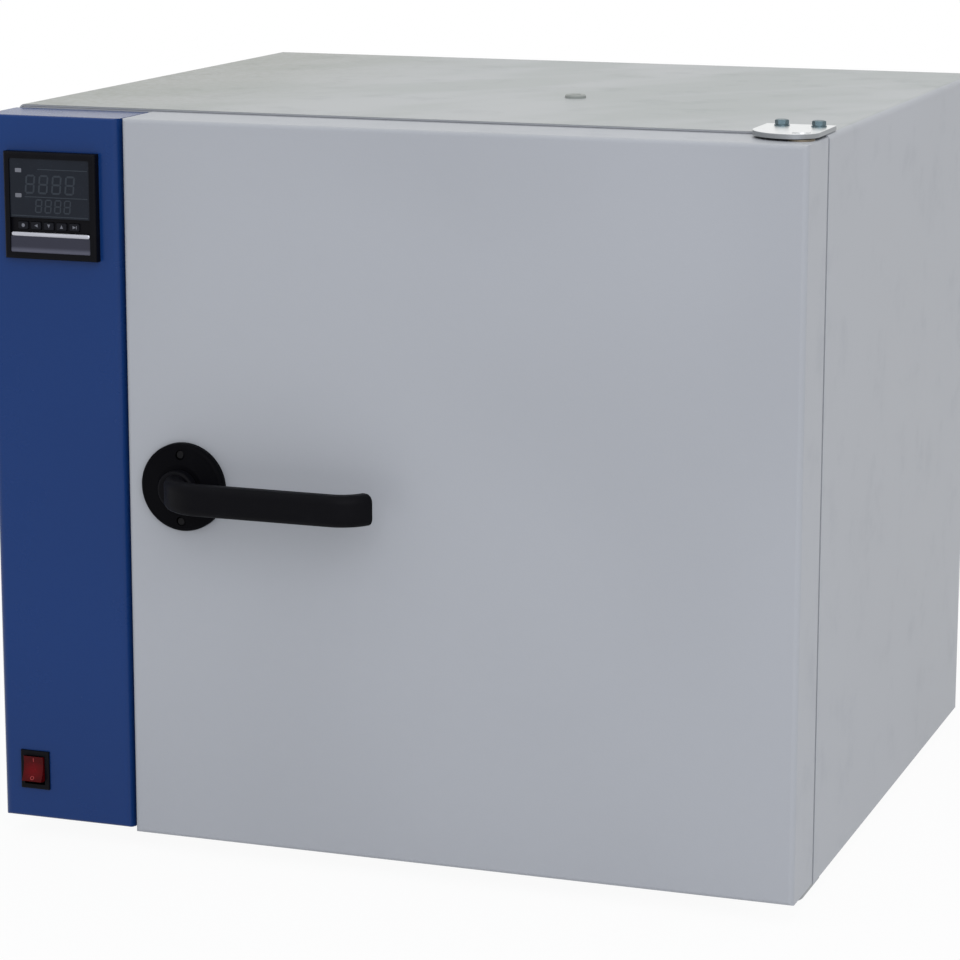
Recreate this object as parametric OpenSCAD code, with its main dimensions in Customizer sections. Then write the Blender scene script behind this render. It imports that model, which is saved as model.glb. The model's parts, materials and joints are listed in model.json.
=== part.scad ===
// Bench-top drying cabinet: sheet-metal case, control column, hinged door and wire-shelf chamber.
// Lengths are in millimetres. X runs to the right, Y from front to back, Z up.
// Modules are drawn with the case front at y = 0 and x = 0 at mid width. set_in_frame() then moves
// each piece along Y, so that the origin is the bottom centre of the whole cabinet.

/* [Case] */
// Width over the side walls
case_w = 540; // [520:5:600]
// Depth of the case behind the door
case_d = 434; // [425:1:520]
// Height of the case without its feet
case_h = 470; // [460:5:540]
// Sheet thickness of the outer case
sheet_t = 1.2; // [0.8:0.1:1.6]
// Outer radius of the long top edges
case_edge_r = 4; // [3:0.5:8]
// Height of the rubber feet
foot_h = 10; // [9:0.5:20]
// Radius of the rubber feet
foot_r = 13; // [10:0.5:18]
// Distance of each foot's centre from the case walls
foot_inset = 55; // [45:1:80]

/* [Control column] */
// Width of the control column
col_w = 94; // [90:1:110]
// How far the column stands in front of the case
col_d = 48; // [44:1:56]
// Radius of the column's upright edges
col_edge_r = 6; // [3:0.5:10]
// Gap between the column and the door
col_gap = 3; // [2:0.5:5]

/* [Controller and switch] */
// Width of the controller frame
ctrl_w = 64.5; // [62:0.5:70]
// Height of the controller frame
ctrl_h = 68.5; // [66:0.5:74]
// Thickness of the controller frame
ctrl_t = 6; // [5:0.5:9]
// Distance of the controller frame from the left wall
ctrl_inset = 15; // [13:0.5:18]
// Distance of the controller frame from the top of the case
ctrl_drop = 24.5; // [20:0.5:60]
// Depth of the controller behind the column face
ctrl_depth = 80; // [60:1:100]
// Width of one key
key_w = 6.8; // [5:0.2:7.4]
// Height of one key
key_h = 4.6; // [4:0.2:6]
// Distance from key to key
key_pitch = 9; // [8.4:0.1:9.6]
// Travel of a key
key_travel = 0.5; // [0.3:0.1:0.8]
// Width of the switch frame
sw_w = 20.5; // [19:0.5:24]
// Height of the switch frame
sw_h = 26; // [25:0.5:30]
// Height of the switch centre above the case bottom
sw_z = 36; // [25:1:60]
// Tilt of the rocker to either side of its middle
rocker_tilt = 12; // [8:1:14]

/* [Door] */
// Thickness of the door
door_t = 47.5; // [44:0.5:56]
// Gap between the door's back and the case front
door_gap = 3.5; // [3:0.5:5]
// Gap above and below the door
door_play = 1.5; // [1.4:0.1:2.5]
// Radius of the door's folded edges
door_edge_r = 3.5; // [2:0.5:6]
// Depth of the channel that holds the gasket
channel_d = 5; // [4:0.5:7]
// Width of the gasket
gasket_w = 9; // [7:0.5:10]
// How far the inner panel reaches into the chamber
plug_out = 8; // [4:0.5:10]
// Gap between the inner panel's raised middle and the chamber walls
plug_gap = 6; // [4:0.5:10]

/* [Hinge] */
// Distance of the pivot from the right wall
pivot_inset = 11; // [9:0.5:12]
// Distance of the pivot in front of the door's back
pivot_depth = 22.5; // [20:0.5:24]
// Radius of the pivot pins
pin_r = 4; // [3:0.25:4.5]
// Running clearance of the pins in their bushes
pin_fit = 0.05; // [0.02:0.01:0.1]
// Thickness of the hinge plates
plate_t = 3; // [2:0.25:3.5]
// Width of the hinge plates
plate_w = 43; // [40:1:50]
// How far the plates reach back over the case
plate_back = 22; // [20:1:30]
// Radius of the hinge bolts' shanks
bolt_r = 3; // [2.5:0.25:3.5]

/* [Handle and latch] */
// Distance of the spindle from the door's left edge
handle_inset = 40; // [39.5:0.5:41]
// Height of the spindle above the case bottom
handle_z = 236; // [200:1:260]
// Radius of the rosette
rosette_r = 28.5; // [26:0.5:34]
// Thickness of the rosette
rosette_t = 9; // [7:0.5:12]
// How far the lever's front stands off the door
lever_out = 43; // [40:0.5:52]
// Length of the lever from the spindle to its end
lever_len = 139; // [120:1:160]
// Height of the lever's section
lever_h = 20; // [17:0.5:24]
// Thickness of the lever's section
lever_t = 13; // [10:0.5:15]
// Middle radius of the neck between the rosette and the grip
neck_r = 25; // [23:0.5:27]
// Middle radius of the bend at the lever's end
lever_bend_r = 21; // [18:0.5:26]
// Angle of the bend at the lever's end
lever_bend = 62; // [50:1:70]
// Radius of the spindle
spindle_r = 5; // [4.5:0.25:5.5]
// Running clearance of the spindle in its sleeve
spindle_fit = 0.05; // [0.02:0.01:0.1]
// Reach of the latch cam from the spindle axis
cam_reach = 24; // [21:0.5:25]

/* [Chamber] */
// Insulation between the chamber and the right wall
side_wool = 66.5; // [60:0.5:80]
// Insulation above and below the chamber
end_wool = 70; // [62:1:80]
// Free space between the insulation and the case's back
rear_space = 40; // [38:1:60]
// Radius of the chamber's corners
ch_r = 8; // [4:0.5:14]
// Sheet thickness of the chamber
liner_t = 1; // [0.8:0.1:1.2]
// Width of the flange round the chamber mouth
flange_w = 14; // [13:0.5:15]
// Height of the heater space below the punched floor
heater_h = 40; // [36:1:60]
// Radius of the heater tubes
heater_r = 4; // [3:0.25:5]
// Thickness of the insulation behind the chamber
back_wool = 48; // [30:1:50]

/* [Shelves] */
// Radius of the shelf's frame rod
rim_r = 2.5; // [2:0.25:3]
// Radius of the shelf's cross wires
wire_r = 1.4; // [1:0.1:1.8]
// Largest distance from wire to wire
wire_pitch = 23; // [15:1:35]
// Height of the lowest runner above the punched floor
runner_z = 55; // [40:1:70]
// Distance from runner to runner
runner_step = 62; // [50:1:70]
// Bend radius of the shelf's frame rod
rim_bend_r = 9; // [7:0.5:14]

/* [Ports] */
// Distance of the top port from the right wall
port_x = 213; // [180:1:240]
// Distance of the top port from the case front
port_y = 164; // [120:1:260]
// Radius of the bore through the port bush
port_r = 3.2; // [2.5:0.1:3.6]
// Distance of the cable gland from the left wall
gland_x = 47; // [40:1:60]
// Height of the cable gland above the case bottom
gland_z = 42; // [35:1:70]
// Radius of the bore through the cable gland
gland_r = 4.25; // [3:0.25:5.5]

/* [Hidden] */
$fn = 48;

// Clearances shared by mating pieces
fit = 0.2;          // loose fit between pieces of one body
press = 0.02;       // pressed or threaded fit
body_gap = 0.3;     // between pieces of different bodies
over = 1;           // how far a cutter runs past a face

// Case
front_t = 1.5;
base_t = 1.5;
left_x = -case_w / 2;
right_x = case_w / 2;
case_z0 = foot_h;
case_z1 = foot_h + case_h;
in_left = left_x + sheet_t + fit;
in_right = right_x - sheet_t - fit;
in_z0 = case_z0 + base_t + fit;
in_z1 = case_z1 - sheet_t - fit;
rear_flange = 14;
back_screw_r = 1.6;
upstand_y = case_d - sheet_t - fit - base_t;
upstand_h = 14;
foot_seat = 5;
foot_head_r = 4.8;
foot_screw_r = 2;
foot_nut_r = 3.9;
foot_nut_h = 3.2;

// Column
col_x1 = left_x + col_w;
col_z0 = case_z0 + 3;
col_z1 = case_z1 - 2;
col_face = -col_d;
col_back_gap = 3.5;
col_return = 9;
bay_x = col_x1 - 1;
bay_t = 1;

// Door
door_x0 = col_x1 + col_gap;
door_x1 = right_x;
door_z0 = case_z0 + door_play;
door_z1 = case_z1 - door_play;
door_back = -door_gap;
door_face = -door_gap - door_t;

// Hinge
pivot_x = right_x - pivot_inset;
pivot_y = -door_gap - pivot_depth;
bush_wall = 2;
bush_len = 14;
bush_flange = 1.1;
bush_flange_r = pin_r + 4.2;
pin_len = 15;
bolt_head_h = 4;
bolt_head_r = 5.8;
bolt_xs = [right_x - 32.5, right_x - 9.5];
bolt_y = 11;
bolt_len = 11;
nut_plate_t = 4;
tip_r = 9.5;
plate_corner = 16;
rivet_r = 5.5;
rivet_h = 0.8;

// Handle and latch
axis_x = door_x0 + handle_inset;
axis_z = case_z0 + handle_z;
lever_y = door_face - lever_out;
hub_r = 12.5;
collar_h = 6.7;
spindle_in = 8.2;
sleeve_wall = 2.2;
cam_t = 4;
keeper_t = 3;
keeper_h = 38;
slot_left = axis_x - 13;
slot_right = axis_x + 10.5;
slot_z0 = axis_z - 11;
slot_z1 = axis_z + cam_reach + 4;
cam_y = front_t + keeper_t + body_gap;
cam_bore = spindle_r - 1;
nut_t = 4;
pocket_y = cam_y + cam_t + nut_t + 4;
rosette_screw_at = 21.5;
rosette_seat = rosette_t * 0.55;
lever_corner = 5;

// Chamber. Its left wall leaves room for the latch, its other walls for the insulation
ch_x0 = slot_right + 2 + flange_w;
ch_x1 = door_x1 - side_wool;
ch_w = ch_x1 - ch_x0;
ch_z0 = case_z0 + end_wool;
ch_z1 = case_z1 - end_wool;
ch_mid = (ch_x0 + ch_x1) / 2;
ch_d = case_d - rear_space - back_wool - liner_t;
wool_back = case_d - rear_space;
flange_t = 1;
probe_inset = 60;
probe_drop = 42;
probe_reach = 66;
probe_tail = 12;

// Controller and switch
ctrl_x0 = left_x + ctrl_inset;
ctrl_z1 = case_z1 - ctrl_drop;
ctrl_z0 = ctrl_z1 - ctrl_h;
ctrl_mid = ctrl_x0 + ctrl_w / 2;
ctrl_rim = 4.2;
ctrl_pocket = 2.4;
ctrl_floor = 1.6;
ctrl_body_w = ctrl_w - 6;
ctrl_body_h = ctrl_h - 6;
strip_h = 10.5;
key_row_z = ctrl_z0 + ctrl_rim + strip_h + 6.8;
window_z0 = key_row_z + 5;
key_out = 0.9;
key_flange = 0.8;
key_len = key_out + ctrl_floor + body_gap + key_flange;
board_t = 1.6;
sw_x = left_x + 14 + sw_w / 2;
sw_mid = case_z0 + sw_z;
sw_t = 2;
sw_body_d = 15;
rocker_w = sw_w - 6.5;
rocker_half = sw_h / 2 - 4.8;
rocker_pivot = 4;
rocker_pin = 1;
rocker_pin_fit = 0.06;

// Ports
port_at_x = right_x - port_x;
port_wall = 1.1;
tube_r = port_r + 2.2;
bush_in_r = tube_r - port_wall - press * 3;
gland_at_x = left_x + gland_x;
gland_at_z = case_z0 + gland_z;
gland_thread_r = gland_r + 3.4;
gland_hex_r = gland_thread_r + 4;
gland_out = 19;

// Shelves
floor_z = ch_z0 + heater_h;
heater_half = 28;
heater_mid_z = ch_z0 + 18;
heater_tail = 26;
heater_pin = 14;
runner_w = 9;
runner_h = 8;
runner_t = 1;
shelf_side = 4;
shelf_d = ch_d - 40;
shelf_y0 = 14;
runner_zs = [for (i = [0:2]) floor_z + runner_z + i * runner_step];

// The whole cabinet's depth, from the lever's front to the gland's end, is centred on the origin
shift_y = -(case_d + gland_out + lever_y) / 2;

// Placing and profile helpers
module set_in_frame() {
    translate([0, shift_y, 0]) children();
}

// A profile drawn in X and Z, extruded from y0 back to y1
module along_y(y0, y1) {
    translate([0, y1, 0]) rotate([90, 0, 0]) linear_extrude(y1 - y0) children();
}

// A profile drawn in Y and Z, extruded from x0 to x1
module along_x(x0, x1) {
    translate([x0, 0, 0]) rotate([90, 0, 90]) linear_extrude(x1 - x0) children();
}

module along_z(z0, z1) {
    translate([0, 0, z0]) linear_extrude(z1 - z0) children();
}

module block(x0, x1, y0, y1, z0, z1) {
    translate([x0, y0, z0]) cube([x1 - x0, y1 - y0, z1 - z0]);
}

module rod_y(x, z, r, y0, y1) {
    translate([x, y1, z]) rotate([90, 0, 0]) cylinder(r = r, h = y1 - y0);
}

module rod_x(y, z, r, x0, x1) {
    translate([x0, y, z]) rotate([0, 90, 0]) cylinder(r = r, h = x1 - x0);
}

module rod_z(x, y, r, z0, z1) {
    translate([x, y, z0]) cylinder(r = r, h = z1 - z0);
}

// Rectangle from corner to corner with rounded corners
module round_rect(x0, x1, z0, z1, r) {
    translate([x0 + r, z0]) square([x1 - x0 - 2 * r, z1 - z0]);
    translate([x0, z0 + r]) square([x1 - x0, z1 - z0 - 2 * r]);
    for (x = [x0 + r, x1 - r], z = [z0 + r, z1 - r])
        translate([x, z]) circle(r);
}

// Frame between two such rectangles, w wide
module round_ring(x0, x1, z0, z1, r, w) {
    difference() {
        round_rect(x0 - w, x1 + w, z0 - w, z1 + w, r + w);
        round_rect(x0, x1, z0, z1, r);
    }
}

// Rectangle whose two corners on the low side of the second axis are rounded
module round_front(x0, x1, y0, y1, r) {
    translate([x0, y0 + r]) square([x1 - x0, y1 - y0 - r]);
    translate([x0 + r, y0]) square([x1 - x0 - 2 * r, y1 - y0]);
    for (x = [x0 + r, x1 - r])
        translate([x, y0 + r]) circle(r);
}

// The same for a profile drawn in Y and Z, rounded at its two front corners
module round_nose(y0, y1, z0, z1, r) {
    translate([y0 + r, z0]) square([y1 - y0 - r, z1 - z0]);
    translate([y0, z0 + r]) square([y1 - y0, z1 - z0 - 2 * r]);
    for (z = [z0 + r, z1 - r])
        translate([y0 + r, z]) circle(r);
}

// Block whose front edges are folded round on all four sides
module folded_block(x0, x1, y0, y1, z0, z1, r_side, r_end) {
    intersection() {
        along_z(z0, z1) round_front(x0, x1, y0, y1, r_side);
        along_x(x0, x1) round_nose(y0, y1, z0, z1, r_end);
    }
}

// Hexagon prism along Z with a bore
module hex_nut(r, h, bore) {
    difference() {
        cylinder(r = r, h = h, $fn = 6);
        translate([0, 0, -over]) cylinder(r = bore, h = h + 2 * over);
    }
}

// Pan-head screw whose head points along -Y, with its seat at the origin
module pan_screw(head_r, head_h, shank_r, shank_len) {
    rotate([90, 0, 0]) rotate_extrude() polygon([
        [0, -shank_len], [shank_r, -shank_len], [shank_r, 0], [head_r, 0],
        [head_r, head_h * 0.45], [head_r * 0.72, head_h], [0, head_h]
    ]);
}

// Case
module wrap_profile(x0, x1, z0, z1, r) {
    translate([x0, z0]) square([x1 - x0, z1 - z0 - r]);
    translate([x0 + r, z0]) square([x1 - x0 - 2 * r, z1 - z0]);
    for (x = [x0 + r, x1 - r])
        translate([x, z1 - r]) circle(r);
}

module hinge_bolt_holes(z0, z1) {
    for (x = bolt_xs)
        rod_z(x, bolt_y, bolt_r + fit, z0, z1);
}

module outer_wrap() {
    set_in_frame() color("gainsboro") difference() {
        along_y(0, case_d) wrap_profile(left_x, right_x, case_z0, case_z1, case_edge_r);
        along_y(-over, case_d - 2 * sheet_t) wrap_profile(
            left_x + sheet_t, right_x - sheet_t, case_z0 - over, case_z1 - sheet_t,
            case_edge_r - sheet_t);
        along_y(case_d - 2 * sheet_t - over, case_d + over)
            translate([left_x + rear_flange, case_z0 - over])
                square([case_w - 2 * rear_flange, case_h - rear_flange + over]);
        along_y(case_d - sheet_t, case_d + over) wrap_profile(
            left_x + sheet_t, right_x - sheet_t, case_z0 - over, case_z1 - sheet_t,
            case_edge_r - sheet_t);
        block(left_x + sheet_t, right_x - sheet_t, case_d - 2 * sheet_t - over, case_d + over,
            case_z0 - over, in_z0);
        rod_z(port_at_x, port_y, tube_r + fit, in_z1 - over, case_z1 + over);
        hinge_bolt_holes(in_z1 - over, case_z1 + over);
        back_screw_places() rod_y(0, 0, back_screw_r + press, -2 * sheet_t - over, over);
    }
}

module foot_places() {
    for (x = [left_x + foot_inset, right_x - foot_inset], y = [foot_inset, case_d - foot_inset])
        translate([x, y, 0]) children();
}

module base_plate() {
    slot_x0 = left_x + 22;
    slot_len = bay_x - 14 - slot_x0;
    set_in_frame() color("silver") difference() {
        union() {
            block(in_left, in_right, 0, case_d - sheet_t - fit, case_z0, case_z0 + base_t);
            block(left_x + rear_flange + fit, right_x - rear_flange - fit, upstand_y,
                upstand_y + base_t, case_z0, case_z0 + upstand_h);
        }
        foot_places() rod_z(0, 0, foot_screw_r + fit, case_z0 - over, in_z0 + over);
        for (i = [0:7])
            block(slot_x0, slot_x0 + slot_len, 150 + i * 14, 155 + i * 14,
                case_z0 - over, in_z0 + over);
        hinge_bolt_holes(case_z0 - over, in_z0 + over);
    }
}

module back_screw_places() {
    edge = rear_flange / 2;
    for (x = [left_x + edge, right_x - edge], z = [case_z0 + 40, (case_z0 + case_z1) / 2, case_z1 - 40])
        translate([x, case_d, z]) children();
    for (x = [left_x + case_w / 3, right_x - case_w / 3])
        translate([x, case_d, case_z1 - edge - 1]) children();
}

module back_panel() {
    louvre_x0 = left_x + 24;
    louvre_x1 = bay_x - 8;
    set_in_frame() color("gainsboro") difference() {
        along_y(case_d - sheet_t, case_d) wrap_profile(
            left_x + sheet_t + fit, right_x - sheet_t - fit, case_z0 + fit,
            case_z1 - sheet_t - fit, case_edge_r - sheet_t);
        for (i = [0:8], z = [case_z0 + 110 + i * 12, case_z1 - 150 + i * 12])
            along_y(case_d - sheet_t - over, case_d + over)
                round_rect(louvre_x0, louvre_x1, z, z + 5, 2.4);
        rod_y(gland_at_x, gland_at_z, gland_thread_r + fit, case_d - sheet_t - over, case_d + over);
        back_screw_places() rod_y(0, 0, back_screw_r + press, -sheet_t - over, over);
    }
}

module back_screws() {
    set_in_frame() color("silver") back_screw_places()
        rotate([0, 0, 180]) pan_screw(3.4, 2.2, back_screw_r, 2 * sheet_t - press);
}

module front_frame() {
    bay_edge = 12;
    set_in_frame() color("gainsboro") difference() {
        along_y(0, front_t) wrap_profile(
            in_left, in_right, in_z0, in_z1, case_edge_r - sheet_t);
        along_y(-over, front_t + over) round_rect(
            ch_x0 - liner_t - fit, ch_x1 + liner_t + fit, ch_z0 - liner_t - fit,
            ch_z1 + liner_t + fit, ch_r + liner_t + fit);
        along_y(-over, front_t + over) round_rect(
            slot_left, slot_right, slot_z0, slot_z1, 2);
        along_y(-over, front_t + over) round_rect(
            left_x + bay_edge, bay_x - bay_edge, col_z0 + bay_edge, col_z1 - bay_edge, 4);
        keeper_screw_places() rod_y(0, 0, 2 + press, -over, front_t + over);
    }
}

module bay_wall() {
    set_in_frame() color("silver") difference() {
        block(bay_x - bay_t, bay_x, front_t + fit, upstand_y - fit, in_z0, in_z1);
        for (z = [ch_z0 + 20, ch_z1 - 40])
            rod_x(wool_back + 16, z, 8, bay_x - bay_t - over, bay_x + over);
    }
}

// Chamber
module heater_leg_places() {
    for (side = [-1, 1], leg = [-1, 1])
        translate([ch_mid + side * ch_w / 4 + leg * heater_half, 0, heater_mid_z]) children();
}

module probe_place() {
    translate([ch_x1 - probe_inset, 0, ch_z1 - probe_drop]) children();
}

module insulation() {
    set_in_frame() color("khaki") difference() {
        along_y(front_t + fit, wool_back)
            wrap_profile(bay_x + fit, in_right, in_z0, in_z1, case_edge_r - sheet_t);
        along_y(-over, ch_d + liner_t + fit) round_rect(
            ch_x0 - liner_t - fit, ch_x1 + liner_t + fit, ch_z0 - liner_t - fit,
            ch_z1 + liner_t + fit, ch_r + liner_t + fit);
        block(slot_left - 24, slot_right + 1, 0, pocket_y, slot_z0 - 10, slot_z1 + 6);
        rod_z(port_at_x, port_y, tube_r + fit, ch_z1, case_z1);
        for (z = [in_z0 - over, in_z1 - nut_plate_t - fit])
            block(bolt_xs[0] - 12, in_right + over, 0, bolt_y + 12,
                z, z + nut_plate_t + fit + over);
        foot_places() rod_z(0, 0, foot_nut_r + 1, in_z0 - over, case_z0 + base_t + foot_nut_h + 2);
        hinge_bolt_holes(in_z0 - over, case_z0 + bolt_len + 2);
        hinge_bolt_holes(case_z1 - bolt_len - 2, in_z1 + over);
        heater_leg_places() rod_y(0, 0, heater_r + 5.5, ch_d, wool_back + over);
        probe_place() rod_y(0, 0, 9, ch_d, wool_back + over);
    }
}

module chamber_liner() {
    set_in_frame() color("lightsteelblue") difference() {
        union() {
            along_y(-flange_t, ch_d + liner_t) round_rect(
                ch_x0 - liner_t, ch_x1 + liner_t, ch_z0 - liner_t, ch_z1 + liner_t, ch_r + liner_t);
            along_y(-flange_t, -press) round_ring(
                ch_x0 - liner_t, ch_x1 + liner_t, ch_z0 - liner_t, ch_z1 + liner_t,
                ch_r + liner_t, flange_w - liner_t);
        }
        along_y(-flange_t - over, ch_d) round_rect(ch_x0, ch_x1, ch_z0, ch_z1, ch_r);
        rod_z(port_at_x, port_y, tube_r + press, ch_z1 - over, ch_z1 + liner_t + over);
        heater_leg_places() rod_y(0, 0, heater_r + press, ch_d - over, ch_d + liner_t + over);
        probe_place() rod_y(0, 0, 2.5 + press, ch_d - over, ch_d + liner_t + over);
    }
}

module floor_plate() {
    side = 1.2;
    y0 = plug_out + 4;
    y1 = ch_d - 8;
    hole_r = 4.5;
    leg_slot = heater_r + 1;
    nx = floor((ch_w - 40) / 30);
    ny = floor((y1 - y0 - 30) / 30);
    set_in_frame() color("silver") difference() {
        union() {
            block(ch_x0 + side, ch_x1 - side, y0, y1, floor_z - liner_t, floor_z);
            for (y = [y0, y1 - liner_t])
                block(ch_x0 + ch_r, ch_x1 - ch_r, y, y + liner_t, ch_z0, floor_z - liner_t);
        }
        for (i = [0:nx], j = [0:ny])
            rod_z(ch_mid + (i - nx / 2) * 30, (y0 + y1) / 2 + (j - ny / 2) * 30, hole_r,
                floor_z - liner_t - over, floor_z + over);
        heater_leg_places() block(-leg_slot, leg_slot, y1 - 4, y1 + over,
            ch_z0 - heater_mid_z - over, leg_slot);
    }
}

// One tube heater: two legs joined by a half turn at the front
module heater_tube(x) {
    half = heater_half;
    y_turn = 48 + half;
    y_end = ch_d + liner_t + heater_tail;
    z = heater_mid_z;
    for (s = [-1, 1])
        rod_y(x + s * half, z, heater_r, y_turn, y_end);
    translate([x, y_turn, z]) rotate([0, 0, 180]) rotate_extrude(angle = 180)
        translate([half, 0]) circle(heater_r);
    for (s = [-1, 1]) {
        rod_y(x + s * half, z, heater_r + 4.5, ch_d + liner_t, ch_d + liner_t + 4);
        rod_y(x + s * half, z, heater_r + 4.5, ch_d - 3, ch_d);
        rod_y(x + s * half, z, 1.8, y_end, y_end + heater_pin);
    }
}

module heater_elements() {
    set_in_frame() color("dimgray")
        for (s = [-1, 1])
            heater_tube(ch_mid + s * ch_w / 4);
}

module heater_saddle() {
    y0 = 96;
    z = heater_mid_z;
    set_in_frame() color("silver") difference() {
        union() {
            block(ch_x0 + ch_r + 4, ch_x1 - ch_r - 4, y0, y0 + 1.5, ch_z0, z + 2);
            block(ch_x0 + ch_r + 4, ch_x1 - ch_r - 4, y0, y0 + 14, ch_z0, ch_z0 + 1.5);
        }
        heater_leg_places() translate([0, y0, 0]) union() {
            rod_y(0, 0, heater_r + press, -over, 3);
            block(-heater_r - press, heater_r + press, -over, 3, 0, 10);
        }
    }
}

module probe() {
    set_in_frame() color("silver") probe_place() {
        rod_y(0, 0, 2.5, ch_d - probe_reach, ch_d + liner_t + probe_tail);
        rod_y(0, 0, 6, ch_d - 3, ch_d);
        rod_y(0, 0, 6, ch_d + liner_t, ch_d + liner_t + 5);
    }
}

// Angle runner on the left wall: the upright leg lies on the wall, the flat leg carries the shelf
module runner_profile() {
    polygon([
        [0, 0], [runner_w, 0], [runner_w, -runner_t], [runner_t, -runner_t],
        [runner_t, -runner_h], [0, -runner_h]
    ]);
}

module shelf_runners() {
    set_in_frame() color("silver") for (z = runner_zs) {
        along_y(shelf_y0, shelf_y0 + shelf_d + 6)
            translate([ch_x0, z]) runner_profile();
        along_y(shelf_y0, shelf_y0 + shelf_d + 6)
            translate([ch_x1, z]) mirror([1, 0]) runner_profile();
        for (x = [ch_x0 + runner_t, ch_x1 - runner_w])
            block(x, x + runner_w - runner_t, shelf_y0 + shelf_d + 5, shelf_y0 + shelf_d + 6,
                z, z + 2 * rim_r);
    }
}

// Wire shelf: a closed rod frame, two bearers under it and cross wires from front to back
module wire_shelf(z) {
    x0 = ch_x0 + shelf_side + rim_r;
    x1 = ch_x1 - shelf_side - rim_r;
    y0 = shelf_y0 + rim_r;
    y1 = shelf_y0 + shelf_d - rim_r;
    r = rim_bend_r;
    zc = z + rim_r;
    n = ceil((x1 - x0) / wire_pitch);
    step = (x1 - x0) / n;
    top = zc + rim_r + wire_r - 0.6;
    for (y = [y0, y1])
        rod_x(y, zc, rim_r, x0 + r, x1 - r);
    for (x = [x0, x1])
        rod_y(x, zc, rim_r, y0 + r, y1 - r);
    for (c = [[x0 + r, y0 + r, 180], [x1 - r, y0 + r, 270], [x1 - r, y1 - r, 0], [x0 + r, y1 - r, 90]])
        translate([c[0], c[1], zc]) rotate([0, 0, c[2]]) rotate_extrude(angle = 90)
            translate([r, 0]) circle(rim_r);
    for (i = [1:n - 1])
        rod_y(x0 + i * step, top, wire_r, y0 - rim_r + 0.4, y1 + rim_r - 0.4);
    for (f = [1 / 3, 2 / 3])
        rod_x(y0 + (y1 - y0) * f, zc + 0.2, rim_r - 0.2, x0, x1);
}

module shelf_lower() {
    set_in_frame() color("lightgray") wire_shelf(runner_zs[0]);
}

module shelf_upper() {
    set_in_frame() color("lightgray") wire_shelf(runner_zs[2]);
}

// Ports
module port_tube() {
    set_in_frame() color("silver") difference() {
        rod_z(port_at_x, port_y, tube_r, ch_z1, case_z1 - press);
        rod_z(port_at_x, port_y, tube_r - port_wall, ch_z1 - over, case_z1 + over);
    }
}

module port_bush() {
    head_r = tube_r + 1.6;
    set_in_frame() color("black") translate([port_at_x, port_y, case_z1]) rotate_extrude() polygon([
        [port_r, -14], [bush_in_r, -14], [bush_in_r, 0], [head_r, 0], [head_r, 1.4],
        [head_r - 0.9, 2.3], [port_r + 0.8, 2.3], [port_r, 1.6]
    ]);
}

module cable_gland() {
    hex_t = 6;
    set_in_frame() color("black") translate([gland_at_x, case_d, gland_at_z]) rotate([-90, 0, 0])
        difference() {
            union() {
                cylinder(r = gland_hex_r, h = hex_t, $fn = 6);
                translate([0, 0, hex_t]) rotate_extrude() polygon([
                    [0, 0], [gland_thread_r + 1.6, 0], [gland_thread_r + 1.6, 6],
                    [gland_thread_r - 0.6, gland_out - hex_t], [0, gland_out - hex_t]
                ]);
                translate([0, 0, -12]) cylinder(r = gland_thread_r, h = 12);
            }
            translate([0, 0, -12 - over]) cylinder(r = gland_r, h = 12 + gland_out + 2 * over);
        }
}

module gland_nut() {
    set_in_frame() color("black")
        translate([gland_at_x, case_d - sheet_t - press, gland_at_z]) rotate([90, 0, 0])
            hex_nut(gland_hex_r, 5, gland_thread_r + press);
}

module feet() {
    set_in_frame() color("dimgray") foot_places() difference() {
        rotate_extrude() polygon([
            [0, 0], [foot_r - 2, 0], [foot_r - 1, 0.6], [foot_r, foot_h - 2],
            [foot_r, case_z0 - press], [0, case_z0 - press]
        ]);
        rod_z(0, 0, foot_head_r + 0.6, -over, foot_seat);
        rod_z(0, 0, foot_screw_r, 0, foot_h + over);
    }
}

module foot_screws() {
    set_in_frame() color("silver") foot_places() {
        rod_z(0, 0, foot_head_r, foot_seat - 2.2, foot_seat - press);
        rod_z(0, 0, foot_screw_r - press, foot_seat - 1, case_z0 + base_t + foot_nut_h + 1);
        translate([0, 0, case_z0 + base_t + press]) cylinder(r = foot_nut_r, h = foot_nut_h, $fn = 6);
    }
}

// Control column
module control_column() {
    wall_x0 = left_x + sheet_t;
    wall_x1 = col_x1 - sheet_t;
    set_in_frame() color("royalblue") difference() {
        union() {
            difference() {
                folded_block(left_x, col_x1, col_face, -press, col_z0, col_z1, col_edge_r, 2);
                folded_block(wall_x0, wall_x1, col_face + sheet_t, over, col_z0 + sheet_t,
                    col_z1 - sheet_t, col_edge_r - sheet_t, 2 - sheet_t / 2);
            }
            for (x = [wall_x0 - press, wall_x1 - col_return])
                block(x, x + col_return + press, -sheet_t - press, -press,
                    col_z0 + 12, col_z1 - 12);
        }
        for (z = [col_z0 - over, col_z1 - sheet_t - over])
            block(left_x - over, col_x1 + over, -col_back_gap, over, z, z + sheet_t + 2 * over);
        along_y(col_face - over, col_face + sheet_t + over) round_rect(
            ctrl_mid - ctrl_body_w / 2 - fit, ctrl_mid + ctrl_body_w / 2 + fit,
            ctrl_z0 + 3 - fit, ctrl_z1 - 3 + fit, 2);
        block(sw_x - sw_w / 2 + 1.2 - fit, sw_x + sw_w / 2 - 1.2 + fit, col_face - over,
            col_face + sheet_t + over, sw_mid - sw_h / 2 + 1.5 - fit, sw_mid + sw_h / 2 - 1.5 + fit);
    }
}

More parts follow.
